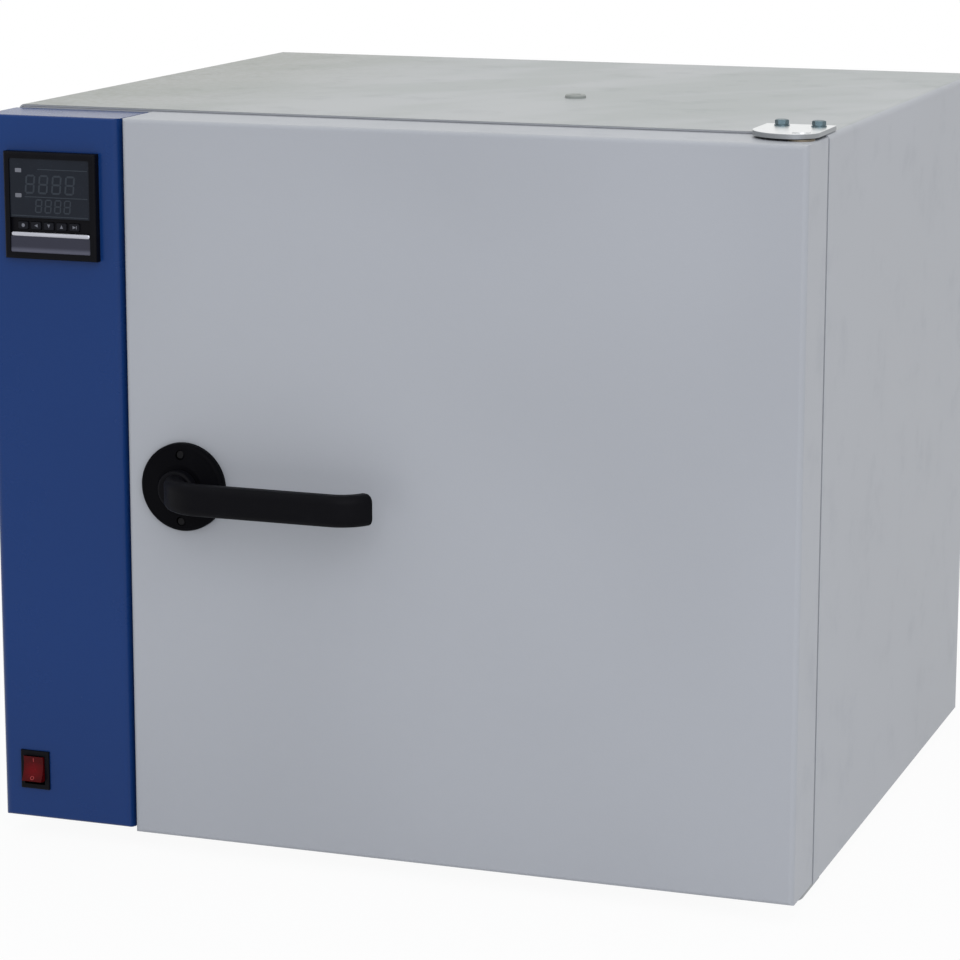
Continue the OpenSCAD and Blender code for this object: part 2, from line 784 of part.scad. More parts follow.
module controller_case() {
    rib_n = 9;
    set_in_frame() color("black") difference() {
        along_y(col_face + press, col_face + ctrl_depth) round_rect(
            ctrl_mid - ctrl_body_w / 2, ctrl_mid + ctrl_body_w / 2, ctrl_z0 + 3, ctrl_z1 - 3, 2);
        along_y(col_face, col_face + key_travel + board_t + 6) round_rect(
            ctrl_mid - ctrl_body_w / 2 + 2, ctrl_mid + ctrl_body_w / 2 - 2,
            ctrl_z0 + 5, ctrl_z1 - 5, 1);
        for (i = [0:rib_n - 1], x = [-1, 1])
            block(ctrl_mid + x * ctrl_body_w / 2 - 1, ctrl_mid + x * ctrl_body_w / 2 + 1,
                col_face + 24 + i * 5, col_face + 26.5 + i * 5, ctrl_z0 + 12, ctrl_z1 - 12);
    }
}

function key_x(i) = ctrl_mid + (i - 3) * key_pitch - 1.5;

module controller_bezel() {
    x0 = ctrl_x0 + ctrl_rim;
    x1 = ctrl_x0 + ctrl_w - ctrl_rim;
    face = col_face - ctrl_t;
    set_in_frame() color("black") difference() {
        folded_block(ctrl_x0, ctrl_x0 + ctrl_w, face, col_face, ctrl_z0, ctrl_z1, 1.8, 1.8);
        along_y(face - over, face + ctrl_pocket) round_rect(
            x0, x1, ctrl_z0 + ctrl_rim, ctrl_z1 - ctrl_rim, 1);
        block(x0 + 2, x1 - 2, face + ctrl_pocket + ctrl_floor, col_face + over,
            ctrl_z0 + ctrl_rim + 2, ctrl_z1 - ctrl_rim - 2);
        for (i = [1:5])
            block(key_x(i) - key_w / 2 - body_gap, key_x(i) + key_w / 2 + body_gap,
                face, face + ctrl_t, key_row_z - key_h / 2 - body_gap,
                key_row_z + key_h / 2 + body_gap);
    }
}

module controller_window() {
    face = col_face - ctrl_t;
    set_in_frame() color("darkslategray") along_y(face + 0.9, face + ctrl_pocket) round_rect(
        ctrl_x0 + ctrl_rim + 0.1, ctrl_x0 + ctrl_w - ctrl_rim - 0.1, window_z0,
        ctrl_z1 - ctrl_rim - 0.1, 0.8);
}

module controller_strip() {
    face = col_face - ctrl_t;
    set_in_frame() color("gray") along_y(face + 0.7, face + ctrl_pocket) round_rect(
        ctrl_x0 + ctrl_rim + 0.1, ctrl_x0 + ctrl_w - ctrl_rim - 0.1, ctrl_z0 + ctrl_rim + 0.1,
        ctrl_z0 + ctrl_rim + strip_h, 0.8);
}

module one_key(i) {
    front = col_face - ctrl_t + ctrl_pocket - key_out;
    set_in_frame() color("dimgray") union() {
        along_y(front, front + key_len) round_rect(
            key_x(i) - key_w / 2, key_x(i) + key_w / 2, key_row_z - key_h / 2,
            key_row_z + key_h / 2, 0.8);
        block(key_x(i) - key_w / 2, key_x(i) + key_w / 2, front + key_len - key_flange,
            front + key_len, key_row_z - key_h / 2 - 0.8, key_row_z + key_h / 2 + 0.8);
    }
}

module key_1() { one_key(1); }
module key_2() { one_key(2); }
module key_3() { one_key(3); }
module key_4() { one_key(4); }
module key_5() { one_key(5); }

module key_board() {
    front = col_face - ctrl_t + ctrl_pocket - key_out + key_len + key_travel + body_gap;
    set_in_frame() color("darkgreen")
        block(ctrl_mid - ctrl_body_w / 2 + 4, ctrl_mid + ctrl_body_w / 2 - 4, front,
            front + board_t, ctrl_z0 + ctrl_rim + 2.5, ctrl_z1 - ctrl_rim - 2.5);
}

module switch_frame() {
    hole_h = 2 * rocker_half + 3;
    set_in_frame() color("black") translate([sw_x, col_face, sw_mid]) difference() {
        folded_block(-sw_w / 2, sw_w / 2, -sw_t, -press, -sw_h / 2, sw_h / 2, 1, 1);
        block(-rocker_w / 2 - body_gap, rocker_w / 2 + body_gap, -sw_t - over, over,
            -hole_h / 2, hole_h / 2);
    }
}

module switch_body() {
    half_w = sw_w / 2 - 1.2;
    half_h = sw_h / 2 - 1.5;
    hole_h = 2 * rocker_half + 3;
    set_in_frame() color("black") translate([sw_x, col_face, sw_mid]) {
        difference() {
            block(-half_w, half_w, 0, sw_body_d, -half_h, half_h);
            block(-rocker_w / 2 - body_gap, rocker_w / 2 + body_gap, -over, 9,
                -hole_h / 2, hole_h / 2);
            rod_x(rocker_pivot - sw_t, 0, rocker_pin + rocker_pin_fit, -half_w + 0.6, half_w - 0.6);
        }
        for (z = [-6, 0, 6])
            block(-3, 3, sw_body_d, sw_body_d + 8, z - 0.4, z + 0.4);
    }
}

// The rocker's side outline, pivot at the origin, front towards -Y: a shallow V between two ends
module rocker_profile() {
    lip = rocker_pivot + 3.7;
    mid = rocker_pivot + 2;
    polygon([
        [-lip, -rocker_half], [-mid - 0.3, -rocker_half * 0.45], [-mid, 0],
        [-mid - 0.3, rocker_half * 0.45], [-lip, rocker_half], [-rocker_pivot + 1, rocker_half],
        [3, rocker_half * 0.45], [3, -rocker_half * 0.45], [-rocker_pivot + 1, -rocker_half]
    ]);
}

module rocker() {
    set_in_frame() color("crimson")
        translate([sw_x, col_face - sw_t + rocker_pivot, sw_mid]) union() {
            rotate([-rocker_tilt, 0, 0]) along_x(-rocker_w / 2, rocker_w / 2) rocker_profile();
            rod_x(0, 0, rocker_pin, -rocker_w / 2 - 1.4, rocker_w / 2 + 1.4);
        }
}

// Electrical bay
module power_relay() {
    x1 = bay_x - bay_t;
    y0 = 190;
    z0 = (case_z0 + case_z1) / 2;
    set_in_frame() color("dimgray") {
        block(x1 - 4, x1, y0 - 8, y0 + 66, z0 - 8, z0 + 53);
        for (i = [0:6])
            block(x1 - 16, x1 - 4, y0 - 8 + i * 12, y0 - 6 + i * 12, z0 - 8, z0 - 1);
        block(x1 - 30, x1 - 4, y0, y0 + 58, z0, z0 + 45);
    }
}

module terminal_block() {
    from_back = 110;
    poles = 5;
    pole_pitch = 10;
    w = poles * pole_pitch + 4;
    set_in_frame() color("ivory") translate([left_x + 26, case_d - from_back, case_z0 + base_t])
        difference() {
            union() {
                block(0, w, 0, 22, 0, 8);
                block(0, w, 5, 17, 8, 17);
            }
            for (i = [0:poles - 1])
                rod_z(7 + i * pole_pitch, 11, 2, 12, 18);
        }
}

// Latch keeper
module keeper_screw_places() {
    for (z = [axis_z - 15, axis_z + 15])
        translate([slot_left - 8, 0, z]) children();
}

module latch_keeper() {
    set_in_frame() color("silver") difference() {
        union() {
            block(slot_left - 18, slot_left, front_t, front_t + keeper_t,
                axis_z - keeper_h / 2, axis_z + keeper_h / 2);
            rod_z(slot_left - 1.5, front_t + 1.5, 1.5, axis_z - keeper_h / 2, axis_z + keeper_h / 2);
        }
        keeper_screw_places() rod_y(0, 0, 2 + press, 0, front_t + keeper_t + over);
    }
}

module keeper_screws() {
    set_in_frame() color("silver") keeper_screw_places()
        pan_screw(3.6, 1.6, 2, front_t + keeper_t);
}

// Hinge. The plate's outline: straight back edge over the case, broad arc in front of the pivot
module hinge_outline() {
    x1 = right_x - pivot_inset + tip_r;
    x0 = x1 - plate_w;
    front = pivot_y - tip_r;
    arc_r = plate_w - plate_corner - 0.5;
    difference() {
        intersection() {
            round_front(x0, x1, front, plate_back, plate_corner);
            union() {
                translate([x0 + arc_r, front + arc_r]) circle(arc_r, $fn = 96);
                translate([x0, front + arc_r]) square([plate_w, plate_back - front - arc_r]);
                translate([x0 + arc_r, front - over]) square([plate_w - arc_r, arc_r + 2 * over]);
            }
        }
        for (x = bolt_xs)
            translate([x, bolt_y]) circle(bolt_r + fit);
    }
}

// Plate at z, with its pin reaching from the plate towards the door; side is -1 for down, 1 for up.
// The pin has a low rivet head on the plate's far side and a centre hole in its free end.
module hinge_plate(z, side) {
    inner = side < 0 ? z : z + plate_t;
    outer = side < 0 ? z + plate_t : z;
    tip = inner + side * pin_len;
    along_z(z, z + plate_t) hinge_outline();
    difference() {
        rod_z(pivot_x, pivot_y, pin_r, min(tip, inner - side), max(tip, inner - side));
        rod_z(pivot_x, pivot_y, 1, tip - 1, tip + 1);
    }
    rod_z(pivot_x, pivot_y, rivet_r, min(outer + side, outer - side * rivet_h),
        max(outer + side, outer - side * rivet_h));
}

module top_hinge_plate() {
    set_in_frame() color("lightgray") hinge_plate(case_z1, -1);
}

module bottom_hinge_plate() {
    set_in_frame() color("lightgray") hinge_plate(case_z0 - plate_t, 1);
}

module hinge_bolts() {
    set_in_frame() color("silver") for (x = bolt_xs) {
        translate([x, bolt_y, case_z1 + plate_t]) {
            rotate([0, 0, 12]) cylinder(r = bolt_head_r, h = bolt_head_h, $fn = 6);
            translate([0, 0, -bolt_len]) cylinder(r = bolt_r, h = bolt_len);
        }
        translate([x, bolt_y, case_z0 - plate_t]) {
            translate([0, 0, -bolt_head_h]) rotate([0, 0, 12])
                cylinder(r = bolt_head_r, h = bolt_head_h, $fn = 6);
            cylinder(r = bolt_r, h = bolt_len);
        }
    }
}

module hinge_nut_plates() {
    z_low = case_z0 + base_t;
    z_high = case_z1 - sheet_t - nut_plate_t;
    set_in_frame() color("silver") for (z = [z_low, z_high]) difference() {
        block(bolt_xs[0] - 10, right_x - sheet_t - case_edge_r, front_t + fit, bolt_y + 10,
            z, z + nut_plate_t);
        for (x = bolt_xs)
            rod_z(x, bolt_y, bolt_r + press, z - over, z + nut_plate_t + over);
    }
}

// Door
module bush_holes(r) {
    for (z = [door_z0 - over, door_z1 - bush_len - over])
        rod_z(pivot_x, pivot_y, r, z, z + bush_len + 2 * over);
}

module door_skin() {
    t = sheet_t;
    set_in_frame() color("gainsboro") difference() {
        folded_block(door_x0, door_x1, door_face, door_back, door_z0, door_z1,
            door_edge_r, door_edge_r - 1);
        folded_block(door_x0 + t, door_x1 - t, door_face + t, door_back + over, door_z0 + t,
            door_z1 - t, door_edge_r - t, door_edge_r - 1 - t / 2);
        bush_holes(pin_r + bush_wall + press);
        rod_y(axis_x, axis_z, spindle_r + sleeve_wall + press, door_face - over, door_face + t + over);
        rosette_screw_places() rod_y(0, 0, 1.8 + press, door_face - over, door_face + t + over);
    }
}

// Inner panel: rim, channel for the gasket and a raised middle, all of one pressed sheet
module door_liner() {
    s = liner_t;
    q = gasket_w + 2 * fit;
    low = door_back - channel_d;
    out = flange_w - (flange_w - gasket_w) / 2 + fit;
    x0 = ch_x0 - out;
    x1 = ch_x1 + out;
    z0 = ch_z0 - out;
    z1 = ch_z1 + out;
    r = ch_r + out;
    px0 = ch_x0 + plug_gap;
    px1 = ch_x1 - plug_gap;
    pz0 = ch_z0 + plug_gap;
    pz1 = ch_z1 - plug_gap;
    set_in_frame() color("lightsteelblue") difference() {
        union() {
            along_y(door_back - s, door_back) difference() {
                round_rect(door_x0 + sheet_t + fit, door_x1 - sheet_t - fit,
                    door_z0 + sheet_t + fit, door_z1 - sheet_t - fit, 3);
                round_rect(x0, x1, z0, z1, r);
            }
            along_y(low - s, door_back) round_ring(x0, x1, z0, z1, r, s);
            along_y(low - s, low) round_ring(x0 + q, x1 - q, z0 + q, z1 - q, r - q, q);
            along_y(low - s, door_back) round_ring(
                x0 + q + s, x1 - q - s, z0 + q + s, z1 - q - s, r - q - s, s);
            along_y(door_back - s, door_back) difference() {
                round_rect(x0 + q + s, x1 - q - s, z0 + q + s, z1 - q - s, r - q - s);
                round_rect(px0 + s, px1 - s, pz0 + s, pz1 - s, ch_r);
            }
            along_y(door_back - s, plug_out) round_ring(
                px0 + s, px1 - s, pz0 + s, pz1 - s, ch_r, s);
            along_y(plug_out - s, plug_out) round_rect(px0 + s, px1 - s, pz0 + s, pz1 - s, ch_r);
        }
        rod_y(axis_x, axis_z, spindle_r + sleeve_wall + press, door_back - s - over,
            door_back + over);
    }
}

module door_insulation() {
    t = sheet_t + fit;
    set_in_frame() color("khaki") difference() {
        folded_block(door_x0 + t, door_x1 - t, door_face + t, door_back - channel_d - liner_t - fit,
            door_z0 + t, door_z1 - t, door_edge_r - sheet_t, door_edge_r - 1 - sheet_t / 2);
        bush_holes(pin_r + bush_wall + 1);
        rod_y(axis_x, axis_z, spindle_r + sleeve_wall + 1, door_face - over, door_back + over);
        rosette_screw_places() rod_y(0, 0, 3, door_face, door_face + 14);
    }
}

module door_gasket() {
    inset = (flange_w - gasket_w) / 2;
    x0 = ch_x0 - flange_w + inset;
    x1 = ch_x1 + flange_w - inset;
    z0 = ch_z0 - flange_w + inset;
    z1 = ch_z1 + flange_w - inset;
    r = ch_r + flange_w - inset;
    w = gasket_w;
    set_in_frame() color("chocolate") along_y(door_back - channel_d, -flange_t - body_gap)
        round_ring(x0 + w, x1 - w, z0 + w, z1 - w, r - w, w);
}

module door_bushes() {
    outer = pin_r + bush_wall;
    set_in_frame() color("goldenrod") translate([pivot_x, pivot_y, 0]) {
        translate([0, 0, door_z0]) rotate_extrude() polygon([
            [pin_r + pin_fit, -bush_flange], [bush_flange_r, -bush_flange], [bush_flange_r, 0],
            [outer, 0], [outer, bush_len], [pin_r + pin_fit, bush_len]
        ]);
        translate([0, 0, door_z1]) rotate_extrude() polygon([
            [pin_r + pin_fit, bush_flange], [bush_flange_r, bush_flange], [bush_flange_r, 0],
            [outer, 0], [outer, -bush_len], [pin_r + pin_fit, -bush_len]
        ]);
    }
}

// Handle and latch
module rosette_screw_places() {
    for (z = [axis_z - rosette_screw_at, axis_z + rosette_screw_at])
        translate([axis_x, 0, z]) children();
}

module spindle_sleeve() {
    set_in_frame() color("silver") difference() {
        rod_y(axis_x, axis_z, spindle_r + sleeve_wall, door_face, door_back);
        rod_y(axis_x, axis_z, spindle_r + spindle_fit, door_face - over, door_back + over);
    }
}

module rosette() {
    r = rosette_r;
    t = rosette_t;
    set_in_frame() color("black") difference() {
        translate([axis_x, door_face, axis_z]) rotate([90, 0, 0]) rotate_extrude() union() {
            polygon([
                [spindle_r + spindle_fit, 0], [r, 0], [r, t * 0.35], [r - t * 0.35, t * 0.7],
                [hub_r + 3, t], [spindle_r + spindle_fit, t]
            ]);
            translate([r - t * 0.35, t * 0.35]) circle(t * 0.35);
        }
        rosette_screw_places() rod_y(0, 0, 3.1, door_face - t - over, door_face - rosette_seat);
        rosette_screw_places() rod_y(0, 0, 1.8 + press, door_face - t, door_face + over);
    }
}

module rosette_screws() {
    set_in_frame() color("dimgray") rosette_screw_places()
        translate([0, door_face - rosette_seat, 0]) pan_screw(3, 2, 1.8, rosette_seat + 9);
}

module lever_section() {
    round_rect(-lever_t / 2, lever_t / 2, -lever_h / 2, lever_h / 2, lever_corner);
}

module lever() {
    mid_y = lever_y + lever_t / 2;
    bend_x = axis_x + lever_len - (lever_bend_r + lever_t / 2) * sin(lever_bend);
    hub_back = door_face - rosette_t - body_gap;
    neck_y = mid_y + neck_r;
    set_in_frame() color("black") difference() {
        union() {
            translate([axis_x, hub_back, axis_z]) rotate([90, 0, 0]) rotate_extrude() union() {
                square([hub_r, collar_h - 2]);
                square([hub_r - 2, collar_h]);
                translate([hub_r - 2, collar_h - 2]) circle(2);
            }
            translate([axis_x, 0, axis_z]) along_y(neck_y, hub_back) lever_section();
            translate([axis_x + neck_r, neck_y, axis_z]) rotate([0, 0, 180])
                rotate_extrude(angle = 90) translate([neck_r, 0]) lever_section();
            translate([0, mid_y, axis_z]) along_x(axis_x + neck_r, bend_x) lever_section();
            translate([bend_x, mid_y + lever_bend_r, axis_z]) rotate([0, 0, -90])
                rotate_extrude(angle = lever_bend) translate([lever_bend_r, 0]) lever_section();
        }
        rod_y(axis_x, axis_z, spindle_r + press, hub_back - spindle_in, door_face);
    }
}

module spindle() {
    shoulder = cam_y - press;
    front = door_face - rosette_t - body_gap - spindle_in + press;
    set_in_frame() color("silver") union() {
        rod_y(axis_x, axis_z, spindle_r, front, shoulder);
        rod_y(axis_x, axis_z, cam_bore, shoulder - over, cam_y + cam_t + nut_t + 1.5);
    }
}

module latch_cam() {
    arm_h = 6;
    set_in_frame() color("silver") difference() {
        translate([axis_x, 0, axis_z]) union() {
            along_y(cam_y, cam_y + cam_t) union() {
                circle(spindle_r + 4);
                translate([-cam_reach + arm_h, -arm_h]) square([cam_reach - arm_h, 2 * arm_h]);
                translate([-cam_reach + arm_h, 0]) circle(arm_h);
            }
        }
        rod_y(axis_x, axis_z, cam_bore + press, cam_y - over, cam_y + cam_t + over);
    }
}

module cam_nut() {
    set_in_frame() color("silver")
        translate([axis_x, cam_y + cam_t + nut_t, axis_z]) rotate([90, 0, 0])
            hex_nut(7.5, nut_t - press, cam_bore + press);
}

outer_wrap();
base_plate();
back_panel();
back_screws();
front_frame();
bay_wall();
insulation();
chamber_liner();
floor_plate();
heater_elements();
heater_saddle();
probe();
shelf_runners();
shelf_lower();
shelf_upper();
port_tube();
port_bush();
cable_gland();
gland_nut();
feet();
foot_screws();
control_column();
controller_case();
controller_bezel();
controller_window();
controller_strip();
key_board();
key_1();
key_2();
key_3();
key_4();
key_5();
switch_frame();
switch_body();
rocker();
power_relay();
terminal_block();
latch_keeper();
keeper_screws();
top_hinge_plate();
bottom_hinge_plate();
hinge_bolts();
hinge_nut_plates();
door_skin();
door_liner();
door_insulation();
door_gasket();
door_bushes();
spindle_sleeve();
rosette();
rosette_screws();
lever();
spindle();
latch_cam();
cam_nut();
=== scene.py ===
import json
import math
import bpy
import numpy as np
from mathutils import Euler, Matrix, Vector


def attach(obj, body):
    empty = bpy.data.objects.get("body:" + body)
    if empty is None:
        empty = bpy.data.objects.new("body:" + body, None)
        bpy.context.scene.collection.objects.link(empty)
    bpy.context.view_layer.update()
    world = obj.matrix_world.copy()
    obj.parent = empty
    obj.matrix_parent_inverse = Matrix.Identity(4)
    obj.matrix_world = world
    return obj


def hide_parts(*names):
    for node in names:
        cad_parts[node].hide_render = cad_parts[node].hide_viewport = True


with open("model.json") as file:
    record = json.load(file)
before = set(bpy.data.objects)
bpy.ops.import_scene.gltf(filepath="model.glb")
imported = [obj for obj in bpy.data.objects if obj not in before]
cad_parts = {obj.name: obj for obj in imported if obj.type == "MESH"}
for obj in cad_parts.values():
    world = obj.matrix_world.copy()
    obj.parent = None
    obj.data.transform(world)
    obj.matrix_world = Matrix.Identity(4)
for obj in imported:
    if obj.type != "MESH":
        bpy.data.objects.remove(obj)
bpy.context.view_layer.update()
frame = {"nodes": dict(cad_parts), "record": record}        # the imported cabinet, in metres, Z up, front towards -Y
nodes = frame["nodes"]
print("frame loaded:", len(nodes), "nodes")


# One socket of a shader tree. Arithmetic on it adds Math nodes.
class Wire:
    def __init__(self, shaderTree, socket):
        self.shaderTree = shaderTree
        self.socket = socket

    def step(self, operation, first, second):
        return self.shaderTree.add("Math", {"operation": operation}, {0: first, 1: second})

    def __add__(self, other):
        return self.step("ADD", self, other)

    def __radd__(self, other):
        return self.step("ADD", other, self)

    def __sub__(self, other):
        return self.step("SUBTRACT", self, other)

    def __rsub__(self, other):
        return self.step("SUBTRACT", other, self)

    def __mul__(self, other):
        return self.step("MULTIPLY", self, other)

    def __rmul__(self, other):
        return self.step("MULTIPLY", other, self)


# The nodes of one material or of the world
class ShaderTree:
    def __init__(self, tree):
        self.tree = tree
        tree.nodes.clear()

    # Any node: its type, the settings that are set first, then the values or links of its sockets.
    # It gives a wire from the socket asked for, or nothing from an output node, which has none.
    def add(self, kind, settings=None, sockets=None, out=0):
        node = self.tree.nodes.new("ShaderNode" + kind)
        for name, value in (settings or {}).items():
            if name == "stops":
                ramp = node.color_ramp.elements
                while len(ramp) < len(value):
                    ramp.new(0.5)
                for element, (position, colour) in zip(ramp, value):
                    element.position = position
                    element.color = colour
            else:
                setattr(node, name, value)
        for name, value in (sockets or {}).items():
            if isinstance(value, Wire):
                self.tree.links.new(value.socket, node.inputs[name])
            else:
                node.inputs[name].default_value = value
        return Wire(self, node.outputs[out]) if len(node.outputs) else None

    # A value from low to high, eased, becomes 0 to 1
    def ease(self, value, low, high):
        return self.add("MapRange", {"interpolation_type": "SMOOTHSTEP"},
                        {"Value": value, "From Min": low, "From Max": high})

    def blend(self, amount, first, second):
        return self.add("Mix", {"data_type": "RGBA"}, {0: amount, 6: first, 7: second}, out=2)


# One material. The constants of its shader are given by socket name, with underscores for the spaces.
class Finish(ShaderTree):
    def __init__(self, name, **constants):
        self.material = bpy.data.materials.new(name)
        self.material.use_nodes = True
        super().__init__(self.material.node_tree)
        fixed = {socketName.replace("_", " "): value for socketName, value in constants.items()}
        self.surface = self.add("BsdfPrincipled", {}, fixed)
        self.add("OutputMaterial", {}, {"Surface": self.surface})
        self.place = self.add("TexCoord", out="Object")

    # Noise whose features are about the given size in metres
    def noise(self, size, detail=2.0, roughness=0.5, where=None):
        return self.add("TexNoise", {}, {"Vector": where or self.place, "Scale": 1 / size,
                                         "Detail": detail, "Roughness": roughness})

    # Noise drawn out along the axes whose stretch is under 1, as brushing leaves it
    def streaks(self, stretch, size, detail=2.0):
        along = self.add("Mapping", {}, {"Vector": self.place, "Scale": stretch})
        return self.noise(size, detail, where=along)

    # One coordinate of the piece, in metres: 0 across, 1 deep, 2 high
    def coordinate(self, axis):
        return self.add("SeparateXYZ", {}, {0: self.place}, out=axis)

    def feed(self, socketName, wire):
        self.tree.links.new(wire.socket, self.surface.socket.node.inputs[socketName])

    def bump(self, height, distance):
        self.feed("Normal", self.add("Bump", {}, {"Height": height, "Distance": distance}))


# An sRGB colour of 0 to 255 as the linear colour that a socket takes
def paint(red, green, blue):
    def linear(value):
        value = value / 255
        return value / 12.92 if value <= 0.04045 else ((value + 0.055) / 1.055) ** 2.4
    return (linear(red), linear(green), linear(blue), 1.0)


# A linear colour made darker or brighter, by one share or by one each for red, green and blue
def scaled(colour, share):
    red, green, blue = np.array(colour[:3]) * share
    return (red, green, blue, 1.0)


# In the settings of the finishes, sizes and heights are in metres, tones are shares of the colour, and cells
# and tracks are scales per metre. A pair of edges is where a value begins to count and where it fully does.
finishes = {}

# Powder coat: fine orange peel, slow waves of the sheet, faint handling marks and specks
powderCoat = {"peelSize": 0.0016, "peelHeight": 0.00004,
              "waveSize": 0.19, "waveEdges": (0.3, 0.7), "waveTones": (0.975, 1.025), "waveRoughness": 0.08,
              "smearSize": 0.035, "smearEdges": (0.5, 0.78), "smearTone": 0.82, "smearRoughness": 0.1,
              "speckSize": 0.0009, "speckEdges": (0.55, 0.75), "speckTone": 1.25, "speckShare": 0.3,
              "marks": 0.03, "specks": 0.06, "roughness": 0.42, "gloss": 0.35}

# The case's top differs from its sides: it is tinted a little greener, it has soft slanting darker marks that are
# painted reflections of the lights above it, and dust towards the left. What lies under height by less than the
# distances of below is top. turn is in radians.
topReflectionsAndDust = {"height": 0.48, "below": (0.0006, 0.0002), "topTint": 0.5, "topTintColour": paint(168, 171, 168),
         "turn": 0.95, "stretch": (0.13, 0.05, 1.0), "reflectionEdges": (0.38, 0.66), "marks": 0.38,
         "reflectionColour": paint(138, 146, 142), "dustyEdge": (-0.28, -0.06), "crumbSize": 0.006,
         "crumbEdges": (0.4, 0.62), "crumbs": 0.5, "dust": 0.75, "dustColour": paint(138, 140, 130)}


def addTopReflectionsAndDust(finish, shade, look):
    low, high = (look["height"] - below for below in look["below"])
    onTop = finish.ease(finish.coordinate(2), low, high)
    shade = finish.blend(onTop * look["topTint"], shade, look["topTintColour"])
    # Painted reflections: soft slanting patches of a darker colour, only on the top
    turned = finish.add("Mapping", {"vector_type": "TEXTURE"},
                        {"Vector": finish.place, "Rotation": (0, 0, look["turn"]), "Scale": look["stretch"]})
    marks = finish.ease(finish.noise(1.0, 1.5, 0.4, where=turned), *look["reflectionEdges"])
    shade = finish.blend(marks * onTop * look["marks"], shade, look["reflectionColour"])
    dusty = 1 - finish.ease(finish.coordinate(0), *look["dustyEdge"])
    crumbs = finish.ease(finish.noise(look["crumbSize"], 4.0, 0.7), *look["crumbEdges"])
    crumbs = crumbs * look["crumbs"] + (1 - look["crumbs"])
    return finish.blend(dusty * crumbs * onTop * look["dust"], shade, look["dustColour"])


def powderFinish(name, colour, look):
    finish = Finish(name, Specular_IOR_Level=look["gloss"])
    peel = finish.noise(look["peelSize"])
    wave = finish.noise(look["waveSize"], 1.0)
    smear = finish.ease(finish.noise(look["smearSize"], 4.0, 0.62), *look["smearEdges"])
    speck = finish.noise(look["speckSize"], 1.0)
    dimmer, brighter = (scaled(colour, tone) for tone in look["waveTones"])
    shade = finish.blend(finish.ease(wave, *look["waveEdges"]), dimmer, brighter)
    shade = finish.blend(smear * look["marks"], shade, scaled(colour, look["smearTone"]))
    specks = finish.ease(speck, *look["speckEdges"]) * look["specks"]
    shade = finish.blend(specks, shade, scaled(colour, look["speckTone"]))
    if "topReflectionsAndDust" in look:
        shade = addTopReflectionsAndDust(finish, shade, look["topReflectionsAndDust"])
    finish.feed("Base Color", shade)
    sheen = smear * look["smearRoughness"] + (wave - 0.5) * look["waveRoughness"]
    finish.feed("Roughness", look["roughness"] + sheen)
    finish.bump(peel + speck * look["speckShare"], look["peelHeight"])
    return finish.material


finishes["light_paint"] = powderFinish("lightPaint", paint(170, 173, 179), {**powderCoat, "topReflectionsAndDust": topReflectionsAndDust})
finishes["blue_paint"] = powderFinish("bluePaint", paint(18, 53, 110),
                                      {**powderCoat, "roughness": 0.24, "marks": 0.1, "gloss": 0.2})


# Zinc layer of galvanised sheet: spangle cells that differ in tone, and a grain over them
spangles = {"cells": 90.0, "dark": (0.46, 0.48, 0.5, 1), "pale": (0.66, 0.68, 0.7, 1), "grainSize": 0.004,
            "roughness": 0.34, "vary": 0.12, "cellShare": 0.6, "height": 0.00003}


def galvanisedFinish():
    look = spangles
    finish = Finish("galvanisedSheet", Metallic=1.0)
    cells = finish.add("TexVoronoi", {"feature": "F1"}, {"Vector": finish.place, "Scale": look["cells"]},
                       out="Color")
    tone = finish.add("SeparateColor", {}, {0: cells})
    grain = finish.noise(look["grainSize"], 4.0)
    finish.feed("Base Color", finish.blend(tone, look["dark"], look["pale"]))
    finish.feed("Roughness", look["roughness"] + (tone + grain - 0.5) * look["vary"])
    finish.bump(tone * look["cellShare"] + grain * (1 - look["cellShare"]), look["height"])
    return finish.material


finishes["galvanised"] = galvanisedFinish()


# Brushed sheet or bar, with the mill's lines along one axis and brownish stains. What lies in front of
# uprightFrom has upright lines.
brushing = {"lineSize": 0.0011, "lineEdges": (0.3, 0.7), "lineTones": (0.9, 1.06), "lineRoughness": 0.17,
            "lineHeight": 0.00002, "upright": (1.0, 0.3, 0.02), "step": 0.0001, "stainSize": 0.06,
            "stainEdges": (0.45, 0.75), "stainTones": (0.82, 0.76, 0.66), "stainRoughness": 0.1}

steel = (0.56, 0.56, 0.55, 1)
flangeFace = -0.1798        # just behind the face of the chamber's front flange, along Y

# By slot or own name: material name, colour, stretch of the lines, roughness, stain, and uprightFrom if any
brushedPieces = {
    "chamber_steel": ("chamberSteel", steel, (1.0, 0.02, 1.0), 0.3, 0.12, flangeFace),
    "doorSteel": ("doorSteel", steel, (1.0, 0.3, 0.02), 0.3, 0.12),
    "bright_wire": ("brightWire", (0.7, 0.71, 0.72, 1), (1.0, 0.1, 1.0), 0.2, 0.06),
    "zinc": ("zincPlate", (0.62, 0.64, 0.65, 1), (0.25, 1.0, 1.0), 0.34, 0.1),
    "bolt_steel": ("boltSteel", (0.1, 0.145, 0.165, 1), (1.0, 1.0, 0.3), 0.34, 0.05),
    # The bronze is dark aged bronze, made darker still as painted shade for the shadow under the hinge plates
    "bronze": ("bronze", (0.2, 0.17, 0.13, 1), (1.0, 1.0, 0.05), 0.45, 0.2),
    "edgeSilver": ("edgeSilver", (0.5, 0.51, 0.57, 1), (0.05, 1.0, 1.0), 0.34, 0.05),
}


